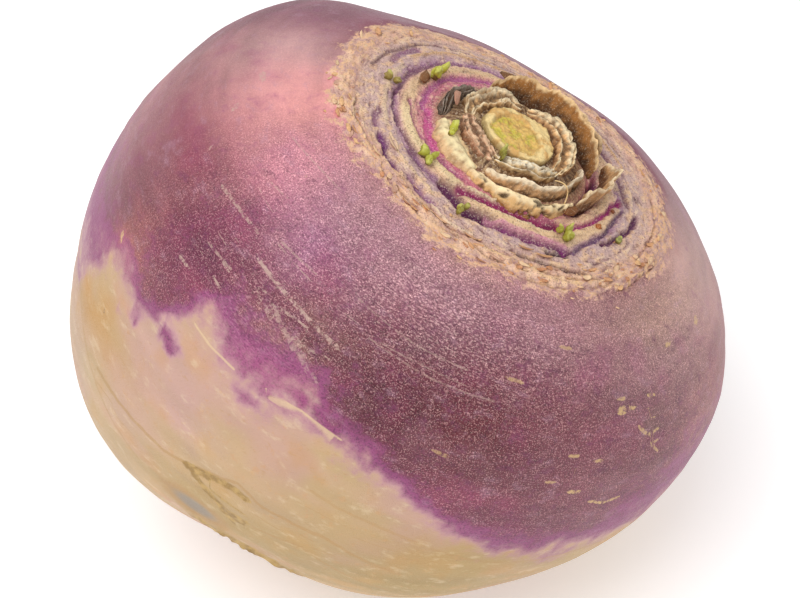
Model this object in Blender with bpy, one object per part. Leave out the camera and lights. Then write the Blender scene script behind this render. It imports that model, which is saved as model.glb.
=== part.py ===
"""Purple-topped turnip with a trimmed crown, lying on its side on a small flat spot.

The swollen root is one grown piece: a squat bulb with a dished, ledged crown at one end and
a short trimmed taproot at the other.  On the crown stand the cut stem, the dried bases of its
leaves in rings round it, and small green buds.  Each of those is a piece of its own.

Everything is modelled in metres with the bulb's axis upright and the bulb's middle at the
origin.  An empty then leans the axis towards +X and sets the whole down, so that the flat spot
lies on the ground (z = 0) under the middle of the turnip's box.
"""
from collections import namedtuple
from math import atan2, cos, exp, hypot, pi, radians, sin

import bmesh
import bpy
from mathutils import Matrix, Vector

MM = 0.001

# The bulb: a solid of turning whose outline is two quarter ovals that meet at the widest ring.
# A fullness of 2 is an ellipse; more is boxier, less is more pointed.
BULB_RADIUS = 45.0 * MM
CROWN_HEIGHT = 33.0 * MM
ROOT_DEPTH = 39.0 * MM
CROWN_FULLNESS = 2.8
ROOT_FULLNESS = 1.9

# How it lies
LEAN = radians(27.5)
FLAT_SPOT_DEPTH = 1.2 * MM

# The trimmed taproot, on the bulb's axis
TAPROOT_RADIUS = 3.2 * MM
TAPROOT_LENGTH = 1.8 * MM
TAPROOT_FLARE = 4.6 * MM
TAPROOT_CALM = 10.0 * MM

# The crown: its middle stands a little off the bulb's axis
CROWN_X = 1.4 * MM
CROWN_Y = 0.2 * MM
CROWN_RIM = 23.0 * MM
CROWN_FADE = 36.0 * MM
LEDGE_RADII = (21.0 * MM, 17.0 * MM, 13.5 * MM)
LEDGE_DROP = 0.45 * MM
LEDGE_WIDTH = 1.6 * MM
STEM_MOUND_RADIUS = 9.0 * MM
STEM_MOUND_HEIGHT = 1.2 * MM

# The cut stem and the leaf bases stand on the crown, this far clear of it and of each other
FIT_GAP = 0.3 * MM
STEM_RADIUS = 5.2 * MM
STEM_HEIGHT = 2.6 * MM
STEM_EDGE = 0.5 * MM
INNER_BASE_WALL = 2.3 * MM
RING_SPACE = 0.8 * MM
LEAF_FLARE = 0.12

# Mesh fineness
BULB_SEGMENTS = 64
CROWN_RINGS = 22
SIDE_RINGS = 20
TAPROOT_RINGS = 4
STEM_SEGMENTS = 28
ARC_STEP = radians(9.0)
HALVINGS = 26

# Uneven growth: how far the skin stands out or in, where (angle down from the crown and angle
# round the axis), and the angle over which it fades
Swelling = namedtuple("Swelling", "height down around spread")
SWELLINGS = (
    Swelling(-2.0 * MM, 50, 70, 12),
    Swelling(-2.5 * MM, 52, 105, 12),
    Swelling(-1.0 * MM, 72, 155, 10),
    Swelling(-1.0 * MM, 105, 170, 18),
    Swelling(2.5 * MM, 124, -157, 18),
    Swelling(-2.0 * MM, 130, -105, 14),
    Swelling(-2.0 * MM, 106, -57, 20),
    Swelling(2.0 * MM, 79, -12, 20),
)

# The dried leaf bases: an arc round the stem from one angle to another, the radius of its inner
# wall at both ends, its wall, and how far its middle stands above the bulb's own outline
LeafBase = namedtuple("LeafBase", "start end start_radius end_radius wall height")
INNER = STEM_RADIUS + 2 * FIT_GAP
RING = INNER + INNER_BASE_WALL + RING_SPACE
LEAF_BASES = {
    "leaf_base_inner_right": LeafBase(-35, 75, INNER, INNER, INNER_BASE_WALL, 3.0 * MM),
    "leaf_base_inner_back": LeafBase(84, 170, INNER, INNER, INNER_BASE_WALL, 2.6 * MM),
    "leaf_base_inner_left": LeafBase(178, 236, INNER, INNER, INNER_BASE_WALL, 2.1 * MM),
    "leaf_base_inner_front": LeafBase(-106, -43, INNER, INNER, INNER_BASE_WALL, 2.3 * MM),
    "leaf_base_front": LeafBase(-114, -8, RING, RING, 1.3 * MM, 2.3 * MM),
    "leaf_base_left": LeafBase(185, 234, RING, RING, 3.3 * MM, 0.9 * MM),
    "leaf_base_withered": LeafBase(126, 178, RING, RING + 0.6 * MM, 1.7 * MM, 1.6 * MM),
    "leaf_base_tall": LeafBase(2, 114, RING + 2.6 * MM, RING + 0.1 * MM, 1.1 * MM, 4.0 * MM),
    "leaf_base_spongy": LeafBase(-124, -44, RING + 2.1 * MM, RING + 2.3 * MM, 2.2 * MM, 0.8 * MM),
    "leaf_base_frilled": LeafBase(-37, 9, RING + 3.0 * MM, RING + 5.2 * MM, 1.2 * MM, 3.2 * MM),
    "leaf_base_outer": LeafBase(21, 68, RING + 5.0 * MM, RING + 4.0 * MM, 0.9 * MM, 2.8 * MM),
}

# The buds in the leaves' axils: angle round the stem, distance from it, half width, height, and
# the leaf base that the bud stands on (None for the crown itself)
Bud = namedtuple("Bud", "around distance radius height stands_on")
BUDS = (
    Bud(-157, RING + 1.8 * MM, 1.15 * MM, 1.9 * MM, "leaf_base_left"),
    Bud(-143, RING + 6.9 * MM, 1.25 * MM, 2.1 * MM, None),
    Bud(-114, RING + 9.9 * MM, 1.0 * MM, 1.8 * MM, None),
    Bud(-61, RING + 6.8 * MM, 1.15 * MM, 2.1 * MM, None),
    Bud(-31, RING + 10.2 * MM, 0.85 * MM, 1.2 * MM, None),
    Bud(-115, INNER + INNER_BASE_WALL / 2, 0.75 * MM, 2.6 * MM, None),
    Bud(166, RING + 9.4 * MM, 0.95 * MM, 1.4 * MM, None),
    Bud(140, RING + 5.4 * MM, 1.3 * MM, 2.6 * MM, None),
)

# Colour, roughness and metallic value of each finish
FINISHES = {
    "purple_skin": ((0.42, 0.16, 0.27), 0.5, 0.0),
    "cut_stem": ((0.71, 0.61, 0.25), 0.7, 0.0),
    "dried_leaf_base": ((0.55, 0.41, 0.24), 0.85, 0.0),
    "fresh_bud": ((0.42, 0.47, 0.08), 0.5, 0.0),
}


def lerp(low, high, share):
    """The value a share of the way from low to high."""
    return low + (high - low) * share


def smooth_step(low, high, value):
    """0 below low, 1 above high, and a smooth rise between them."""
    share = min(max((value - low) / (high - low), 0.0), 1.0)
    return share * share * (3.0 - 2.0 * share)


def direction_to(down, around):
    """Unit vector at an angle down from the crown and an angle round the axis, in radians."""
    return Vector((sin(down) * cos(around), sin(down) * sin(around), cos(down)))


def oval_reach(across, along):
    """Distance from the bulb's middle to its even outline, for a unit direction's two parts."""
    if along >= 0.0:
        depth, fullness = CROWN_HEIGHT, CROWN_FULLNESS
    else:
        depth, fullness = ROOT_DEPTH, ROOT_FULLNESS
    return ((across / BULB_RADIUS) ** fullness + (abs(along) / depth) ** fullness) ** (-1.0 / fullness)


def swell(direction):
    """How far the uneven growth moves the skin outwards along a unit direction."""
    total = 0.0
    for swelling in SWELLINGS:
        centre = direction_to(radians(swelling.down), radians(swelling.around))
        fade = exp((direction.dot(centre) - 1.0) / radians(swelling.spread) ** 2)
        total += swelling.height * fade
    return total


def bulb_reach(direction):
    """Distance from the bulb's middle to its outline, ledges left out, along a unit direction."""
    return oval_reach(hypot(direction.x, direction.y), direction.z) + swell(direction)


def bulb_height(x, y):
    """Height of the crown end's outline above the bulb's middle at x, y, found by halving."""
    low, high = 0.0, 2.0 * CROWN_HEIGHT
    for _ in range(HALVINGS):
        middle = (low + high) / 2.0
        point = Vector((x, y, middle))
        if point.length < bulb_reach(point.normalized()):
            low = middle
        else:
            high = middle
    return low


def crown_floor(x, y):
    """Height of the crown's surface at x, y: ledges step down to a dish round the stem's mound."""
    distance = hypot(x - CROWN_X, y - CROWN_Y)
    height = bulb_height(x, y)
    for ledge in LEDGE_RADII:
        height -= LEDGE_DROP * (1.0 - smooth_step(ledge - LEDGE_WIDTH, ledge, distance))
    height += STEM_MOUND_HEIGHT * (1.0 - smooth_step(0.0, STEM_MOUND_RADIUS, distance))
    return height


def around_stem(azimuth, distance):
    """The x, y of a place on the crown, by its angle round the stem and distance from it."""
    return CROWN_X + distance * cos(azimuth), CROWN_Y + distance * sin(azimuth)


def finish(name):
    """The named finish as a Principled material, made once."""
    material = bpy.data.materials.get(name)
    if material:
        return material
    colour, roughness, metallic = FINISHES[name]
    material = bpy.data.materials.new(name)
    material.use_nodes = True
    shader = material.node_tree.nodes["Principled BSDF"]
    shader.inputs["Base Color"].default_value = (*colour, 1.0)
    shader.inputs["Roughness"].default_value = roughness
    shader.inputs["Metallic"].default_value = metallic
    material.diffuse_color = (*colour, 1.0)
    return material


def add_piece(name, bm, finish_name, sharp_angle, parent):
    """Close a bmesh into a named, smooth-shaded object under the parent."""
    bmesh.ops.recalc_face_normals(bm, faces=bm.faces[:])
    mesh = bpy.data.meshes.new(name)
    bm.to_mesh(mesh)
    bm.free()
    mesh.shade_smooth()
    mesh.set_sharp_from_angle(angle=sharp_angle)
    mesh.materials.append(finish(finish_name))
    piece = bpy.data.objects.new(name, mesh)
    piece.parent = parent
    bpy.context.scene.collection.objects.link(piece)
    return piece


def turned(outline, segments):
    """A closed bmesh turned from an outline of (radius, height) points that ends on the axis."""
    bm = bmesh.new()
    corners = [bm.verts.new((radius, 0.0, height)) for radius, height in outline]
    edges = [bm.edges.new(pair) for pair in zip(corners, corners[1:])]
    bmesh.ops.spin(bm, geom=corners + edges, cent=(0, 0, 0), axis=(0, 0, 1), angle=2 * pi,
                   steps=segments, use_merge=True)
    bmesh.ops.remove_doubles(bm, verts=bm.verts[:], dist=0.01 * MM)
    return bm


def bulb_outline():
    """The bulb's outline before its swellings: crown, sides, and the taproot's flare and end."""
    rim_angle = atan2(CROWN_RIM, CROWN_HEIGHT)
    neck_radius = TAPROOT_RADIUS + TAPROOT_FLARE
    neck_angle = pi - atan2(neck_radius, ROOT_DEPTH)
    downs = [rim_angle * ring / CROWN_RINGS for ring in range(CROWN_RINGS)]
    downs += [lerp(rim_angle, neck_angle, ring / SIDE_RINGS) for ring in range(SIDE_RINGS + 1)]
    outline = []
    for down in downs:
        reach = oval_reach(sin(down), cos(down))
        outline.append((reach * sin(down), reach * cos(down)))
    neck, neck_height = outline[-1]
    end_height = -(ROOT_DEPTH + TAPROOT_LENGTH)
    for ring in range(1, TAPROOT_RINGS + 1):
        share = ring / TAPROOT_RINGS
        radius = lerp(neck, TAPROOT_RADIUS, 1.0 - (1.0 - share) ** 2)
        outline.append((radius, lerp(neck_height, end_height, share ** 1.5)))
    outline.append((0.5 * TAPROOT_RADIUS, end_height))
    outline.append((0.0, end_height))
    return outline


def down_direction():
    """The ground's direction in the bulb's own frame, before it is leant."""
    return Matrix.Rotation(-LEAN, 3, "Y") @ Vector((0, 0, -1))


def make_root(parent):
    """The swollen root: turned, swollen unevenly, ledged at the crown and flattened below."""
    bm = turned(bulb_outline(), BULB_SEGMENTS)
    neck_radius = TAPROOT_RADIUS + TAPROOT_FLARE
    for vert in bm.verts:
        direction = vert.co.normalized()
        across = hypot(vert.co.x, vert.co.y)
        if direction.z < 0.0:
            free = smooth_step(neck_radius, neck_radius + TAPROOT_CALM, across)
            vert.co += direction * swell(direction) * free
            continue
        vert.co += direction * swell(direction)
        near_stem = 1.0 - smooth_step(CROWN_RIM, CROWN_FADE, across)
        if near_stem > 0.0:
            vert.co.x += CROWN_X * near_stem
            vert.co.y += CROWN_Y * near_stem
            vert.co.z = crown_floor(vert.co.x, vert.co.y)
    down = down_direction()
    lowest = max(vert.co.dot(down) for vert in bm.verts)
    cut = bmesh.ops.bisect_plane(bm, geom=bm.verts[:] + bm.edges[:] + bm.faces[:],
                                 plane_co=down * (lowest - FLAT_SPOT_DEPTH), plane_no=down,
                                 clear_outer=True)
    rim = [item for item in cut["geom_cut"] if isinstance(item, bmesh.types.BMEdge)]
    bmesh.ops.holes_fill(bm, edges=rim, sides=0)
    return add_piece("turnip_root", bm, "purple_skin", radians(40), parent)


def make_stem(parent):
    """The stem, cut off flat above its mound, with a softened edge."""
    outline = (
        (0.0, 0.0),
        (0.5 * STEM_RADIUS, 0.0),
        (STEM_RADIUS, 0.0),
        (STEM_RADIUS, 1.0 - STEM_EDGE / STEM_HEIGHT),
        (STEM_RADIUS - STEM_EDGE, 1.0),
        (0.5 * STEM_RADIUS, 1.0),
        (0.0, 1.0),
    )
    bm = bmesh.new()
    corners = [bm.verts.new((radius, 0.0, share)) for radius, share in outline]
    edges = [bm.edges.new(pair) for pair in zip(corners, corners[1:])]
    bmesh.ops.spin(bm, geom=corners + edges, cent=(0, 0, 0), axis=(0, 0, 1), angle=2 * pi,
                   steps=STEM_SEGMENTS, use_merge=True)
    bmesh.ops.remove_doubles(bm, verts=bm.verts[:], dist=0.01 * MM)
    top = bulb_height(CROWN_X, CROWN_Y) + STEM_HEIGHT
    for vert in bm.verts:
        share = vert.co.z
        vert.co.x += CROWN_X
        vert.co.y += CROWN_Y
        foot = crown_floor(vert.co.x, vert.co.y) + FIT_GAP
        vert.co.z = lerp(foot, top, share)
    return add_piece("cut_stem", bm, "cut_stem", radians(50), parent)


def make_leaf_base(name, base, parent):
    """A dried leaf base: a wall that bends round the stem and thins and drops to its ends."""
    section = ((0.0, 0.0), (0.0, 0.75), (0.25, 1.0), (0.75, 1.0), (1.0, 0.75), (1.0, 0.0))
    span = radians(base.end - base.start)
    steps = max(5, round(span / ARC_STEP))
    bm = bmesh.new()
    corners = [bm.verts.new((1.0 + across, 0.0, up)) for across, up in section]
    face = bm.faces.new(corners)
    bmesh.ops.spin(bm, geom=[face], cent=(0, 0, 0), axis=(0, 0, 1), angle=span, steps=steps)
    for vert in bm.verts:
        across = hypot(vert.co.x, vert.co.y) - 1.0
        share = atan2(vert.co.y, vert.co.x) / span
        up = vert.co.z
        fade = max(sin(pi * share), 0.0) ** 0.5
        wall = base.wall * lerp(0.5, 1.0, fade)
        inner = lerp(base.start_radius, base.end_radius, share)
        radius = inner + base.wall / 2 + (across - 0.5) * wall
        x, y = around_stem(radians(base.start) + share * span, radius)
        foot = crown_floor(x, y) + FIT_GAP
        top = bulb_height(x, y) + base.height * lerp(0.4, 1.0, fade)
        flare = LEAF_FLARE * up * (top - foot)
        vert.co.x, vert.co.y = around_stem(radians(base.start) + share * span, radius + flare)
        vert.co.z = lerp(foot, top, up)
    return add_piece(name, bm, "dried_leaf_base", radians(60), parent)


def make_bud(number, bud, parent):
    """A bud: a small egg whose underside follows what it stands on."""
    bm = bmesh.new()
    bmesh.ops.create_uvsphere(bm, u_segments=10, v_segments=7, radius=1.0)
    centre_x, centre_y = around_stem(radians(bud.around), bud.distance)
    for vert in bm.verts:
        share = (vert.co.z + 1.0) / 2.0
        x = centre_x + vert.co.x * bud.radius
        y = centre_y + vert.co.y * bud.radius
        if bud.stands_on:
            foot = bulb_height(x, y) + LEAF_BASES[bud.stands_on].height + FIT_GAP
        else:
            foot = crown_floor(x, y) + FIT_GAP
        vert.co = (x, y, foot + share * bud.height)
    return add_piece(f"bud_{number}", bm, "fresh_bud", radians(80), parent)


def set_down(carrier, pieces):
    """Lean the carrier and move it, so that the whole box stands on z = 0, centred on the origin."""
    lean = Matrix.Rotation(LEAN, 3, "Y")
    places = [lean @ vert.co for piece in pieces for vert in piece.data.vertices]
    low = Vector([min(place[axis] for place in places) for axis in range(3)])
    high = Vector([max(place[axis] for place in places) for axis in range(3)])
    middle = (low + high) / 2.0
    carrier.rotation_euler = (0.0, LEAN, 0.0)
    carrier.location = (-middle.x, -middle.y, -low.z)


for old in list(bpy.data.objects):
    bpy.data.objects.remove(old, do_unlink=True)

turnip = bpy.data.objects.new("turnip_axis", None)
bpy.context.scene.collection.objects.link(turnip)
parts = [make_root(turnip), make_stem(turnip)]
for base_name, leaf_base in LEAF_BASES.items():
    parts.append(make_leaf_base(base_name, leaf_base, turnip))
for bud_number, bud_sizes in enumerate(BUDS, 1):
    parts.append(make_bud(bud_number, bud_sizes, turnip))
set_down(turnip, parts)
bpy.context.view_layer.update()
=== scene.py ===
from collections import namedtuple
from math import asin, atan2, ceil, cos, degrees, hypot, pi, radians, sin
from random import Random

import bmesh
import bpy
import numpy as np
from mathutils import Matrix, Vector, noise


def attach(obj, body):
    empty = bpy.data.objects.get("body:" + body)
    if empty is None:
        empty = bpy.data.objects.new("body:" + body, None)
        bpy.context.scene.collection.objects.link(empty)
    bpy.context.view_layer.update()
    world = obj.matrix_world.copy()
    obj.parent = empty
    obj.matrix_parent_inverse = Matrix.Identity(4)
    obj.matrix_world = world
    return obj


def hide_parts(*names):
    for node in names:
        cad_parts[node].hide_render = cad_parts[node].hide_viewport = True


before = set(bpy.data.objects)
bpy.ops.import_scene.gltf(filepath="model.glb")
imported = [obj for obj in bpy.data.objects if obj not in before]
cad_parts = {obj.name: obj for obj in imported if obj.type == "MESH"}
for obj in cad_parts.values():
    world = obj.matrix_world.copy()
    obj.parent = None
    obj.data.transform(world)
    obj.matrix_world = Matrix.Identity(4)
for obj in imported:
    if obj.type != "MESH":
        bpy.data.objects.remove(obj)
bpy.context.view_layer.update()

# ---------------------------------------------------------------------------------------------
# The studio: a wide pale table under soft light from all round, with one large lamp above and
# to the left.  The turnip lies on its side, crown leaning to the right and turned to the camera.
# ---------------------------------------------------------------------------------------------
MM = 0.001
BULB_MIDDLE = np.array((-1.51, -0.19, 38.51)) * MM
LEAN = radians(27.5)

CAMERA_HEIGHT_ANGLE = radians(41.57)
CAMERA_DISTANCE = 0.42
CAMERA_ASIDE = 1.39 * MM
CAMERA_RAISED = 0.80 * MM
CAMERA_LENS = 135.3
ROOM_LIGHT = 0.62
LAMP_POWER = 3.0
LAMP_SIZE = 0.45
TABLE_GLOW = 0.30
TABLE_HALF_WIDTH = 3.0
TABLE_PAPER = (0.93, 0.93, 0.93, 1.0)
WHITE = (1.0, 1.0, 1.0, 1.0)
LAMP_PLACE = (-0.16, -0.30, 0.68)


def linear(hexcode):
    """A colour written as six hex digits, as linear red, green and blue."""
    parts = [int(hexcode[k:k + 2], 16) / 255 for k in (0, 2, 4)]
    return np.array([c / 12.92 if c <= 0.04045 else ((c + 0.055) / 1.055) ** 2.4 for c in parts])


def nodes_of(name):
    """A new material, its node tree and its Principled shader."""
    material = bpy.data.materials.new(name)
    material.use_nodes = True
    tree = material.node_tree
    return material, tree, tree.nodes["Principled BSDF"]


def mesh_from(bm, name):
    """A mesh made from a finished bmesh, which is then freed."""
    mesh = bpy.data.meshes.new(name)
    bm.to_mesh(mesh)
    bm.free()
    return mesh


def new_object(name, data):
    """A new object, linked into the scene."""
    made = bpy.data.objects.new(name, data)
    bpy.context.scene.collection.objects.link(made)
    return made


camera_up = Vector((0.0, sin(CAMERA_HEIGHT_ANGLE), cos(CAMERA_HEIGHT_ANGLE)))
camera_back = Vector((0.0, -cos(CAMERA_HEIGHT_ANGLE), sin(CAMERA_HEIGHT_ANGLE)))
camera = new_object("camera", bpy.data.cameras.new("camera"))
camera.data.lens = CAMERA_LENS
camera.data.sensor_width = 36.0
camera.data.clip_start = 0.01
camera.location = (Vector(BULB_MIDDLE) + camera_back * CAMERA_DISTANCE
                   + Vector((CAMERA_ASIDE, 0, 0)) + camera_up * CAMERA_RAISED)
camera.rotation_euler = camera_back.to_track_quat("Z", "Y").to_euler()
bpy.context.scene.camera = camera

lamp = new_object("lamp", bpy.data.lights.new("lamp", "AREA"))
lamp.data.energy = LAMP_POWER
lamp.data.size = LAMP_SIZE
lamp.location = LAMP_PLACE
lamp.rotation_euler = (Vector(LAMP_PLACE) - Vector(BULB_MIDDLE)).to_track_quat("Z", "Y").to_euler()

world = bpy.data.worlds.new("room")
world.use_nodes = True
world.node_tree.nodes["Background"].inputs["Color"].default_value = WHITE
world.node_tree.nodes["Background"].inputs["Strength"].default_value = ROOM_LIGHT
bpy.context.scene.world = world
bpy.context.scene.view_settings.view_transform = "Standard"

table_mesh = bmesh.new()
bmesh.ops.create_grid(table_mesh, x_segments=1, y_segments=1, size=TABLE_HALF_WIDTH)
table = new_object("table", mesh_from(table_mesh, "table"))
table_look, _, table_shader = nodes_of("table_paper")
table_shader.inputs["Base Color"].default_value = TABLE_PAPER
table_shader.inputs["Roughness"].default_value = 0.9
table_shader.inputs["Emission Color"].default_value = WHITE
table_shader.inputs["Emission Strength"].default_value = TABLE_GLOW
table.data.materials.append(table_look)

# ---------------------------------------------------------------------------------------------
# The swollen root: one grown piece, turned about its axis and swollen unevenly, with a dished
# crown ringed by old leaf scars, a corky collar, smooth skin that is purple above and cream
# below, and a short trimmed taproot.  It lies on a small flat spot.
# ---------------------------------------------------------------------------------------------
BULB_RADIUS = 45.0 * MM
CROWN_HEIGHT = 33.0 * MM
ROOT_DEPTH = 39.0 * MM
CROWN_FULLNESS = 2.8
ROOT_FULLNESS = 1.9
TAPROOT_RADIUS = 3.2 * MM
TAPROOT_LENGTH = 1.8 * MM
TAPROOT_FLARE = 4.6 * MM
TAPROOT_CALM = 10.0 * MM
CROWN_X = 1.4 * MM
CROWN_Y = 0.2 * MM
CROWN_RIM = 23.0 * MM
CROWN_FADE = 36.0 * MM

ROOT_SEGMENTS = 512
SIDE_RINGS = 84
TAPROOT_RINGS = 8
# How far apart the crown's rings are, out to each distance, in millimetres
CROWN_RINGS = ((5.0, 1.0), (11.0, 0.6), (25.0, 0.2), (28.0, 0.5))
SKIN_REACH = 43.0 * MM
# How near corners are merged, how often a search halves, and stand-ins for places off the crown
# and away from every mark
DOUBLES = 0.002 * MM
HALVINGS = 24
PAST_CROWN = 40.0
FAR_AWAY = 1e3
# The skin's relief, its finest grain and its gloss
DENT_DEPTH = 0.16 * MM
LOW_RING_HEIGHT = 0.06 * MM
RIDGE_HEIGHT = 0.3 * MM
BARK_DEPTH = 0.25 * MM
BRUISE_DEPTH = 0.35 * MM
SKIN_GRAIN = 0.12 * MM
SKIN_GLOSS = 0.35
# How much longer the skin's streaks are round the root than down it, and how many millimetres of
# flaking pattern there are to a radian round the crown
STREAKS_ROUND = 2.2
FLAKES_ROUND = 13.0

# Uneven growth: how far the skin stands out, where (degrees down from the crown and round the
# axis) and over how many degrees it fades
Swelling = namedtuple("Swelling", "height down around spread")
SWELLINGS = (
    Swelling(-2.0 * MM, 50, 70, 12),
    Swelling(-2.5 * MM, 52, 105, 12),
    Swelling(-1.0 * MM, 72, 155, 10),
    Swelling(-1.0 * MM, 105, 170, 18),
    Swelling(2.5 * MM, 124, -157, 18),
    Swelling(-2.0 * MM, 130, -105, 14),
    Swelling(-2.0 * MM, 106, -57, 20),
    Swelling(2.0 * MM, 79, -12, 20),
)

# The crown from the stem outwards: distance in millimetres, height over the bulb's outline in
# millimetres, and colour
CROWN_BANDS = (
    (0.0, 0.9, "5a3e26"),
    (7.5, 1.1, "74522f"),
    (9.4, 0.3, "6e4c2e"),
    (11.2, -0.5, "c08c74"),
    (12.2, -0.8, "cb7088"),
    (13.8, -0.8, "d88f94"),
    (14.8, -0.6, "f0cb9c"),
    (16.2, -0.6, "e6b79c"),
    (17.0, -0.8, "a9789a"),
    (18.2, -0.5, "c9a8a6"),
    (20.6, -0.35, "d2aca0"),
    (21.8, -0.05, "e0b09c"),
    (22.8, 0.2, "f8ccaa"),
    (24.2, 0.12, "f2c8ae"),
    (25.6, 0.0, "dba8a0"),
    (28.0, 0.0, "c29494"),
)

# How far the collar's bands move out, in millimetres, by degrees round the stem
COLLAR_DRIFT = (
    (-180, 1.6), (-165, 1.4), (-150, 0.3), (-135, 0.0), (-122, 0.4), (-114, 1.3), (-105, 0.4), (-90, -0.2),
    (-60, -0.3), (-30, 0.6), (0, 1.3), (60, 1.0), (120, 1.2), (180, 1.6),
)

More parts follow.
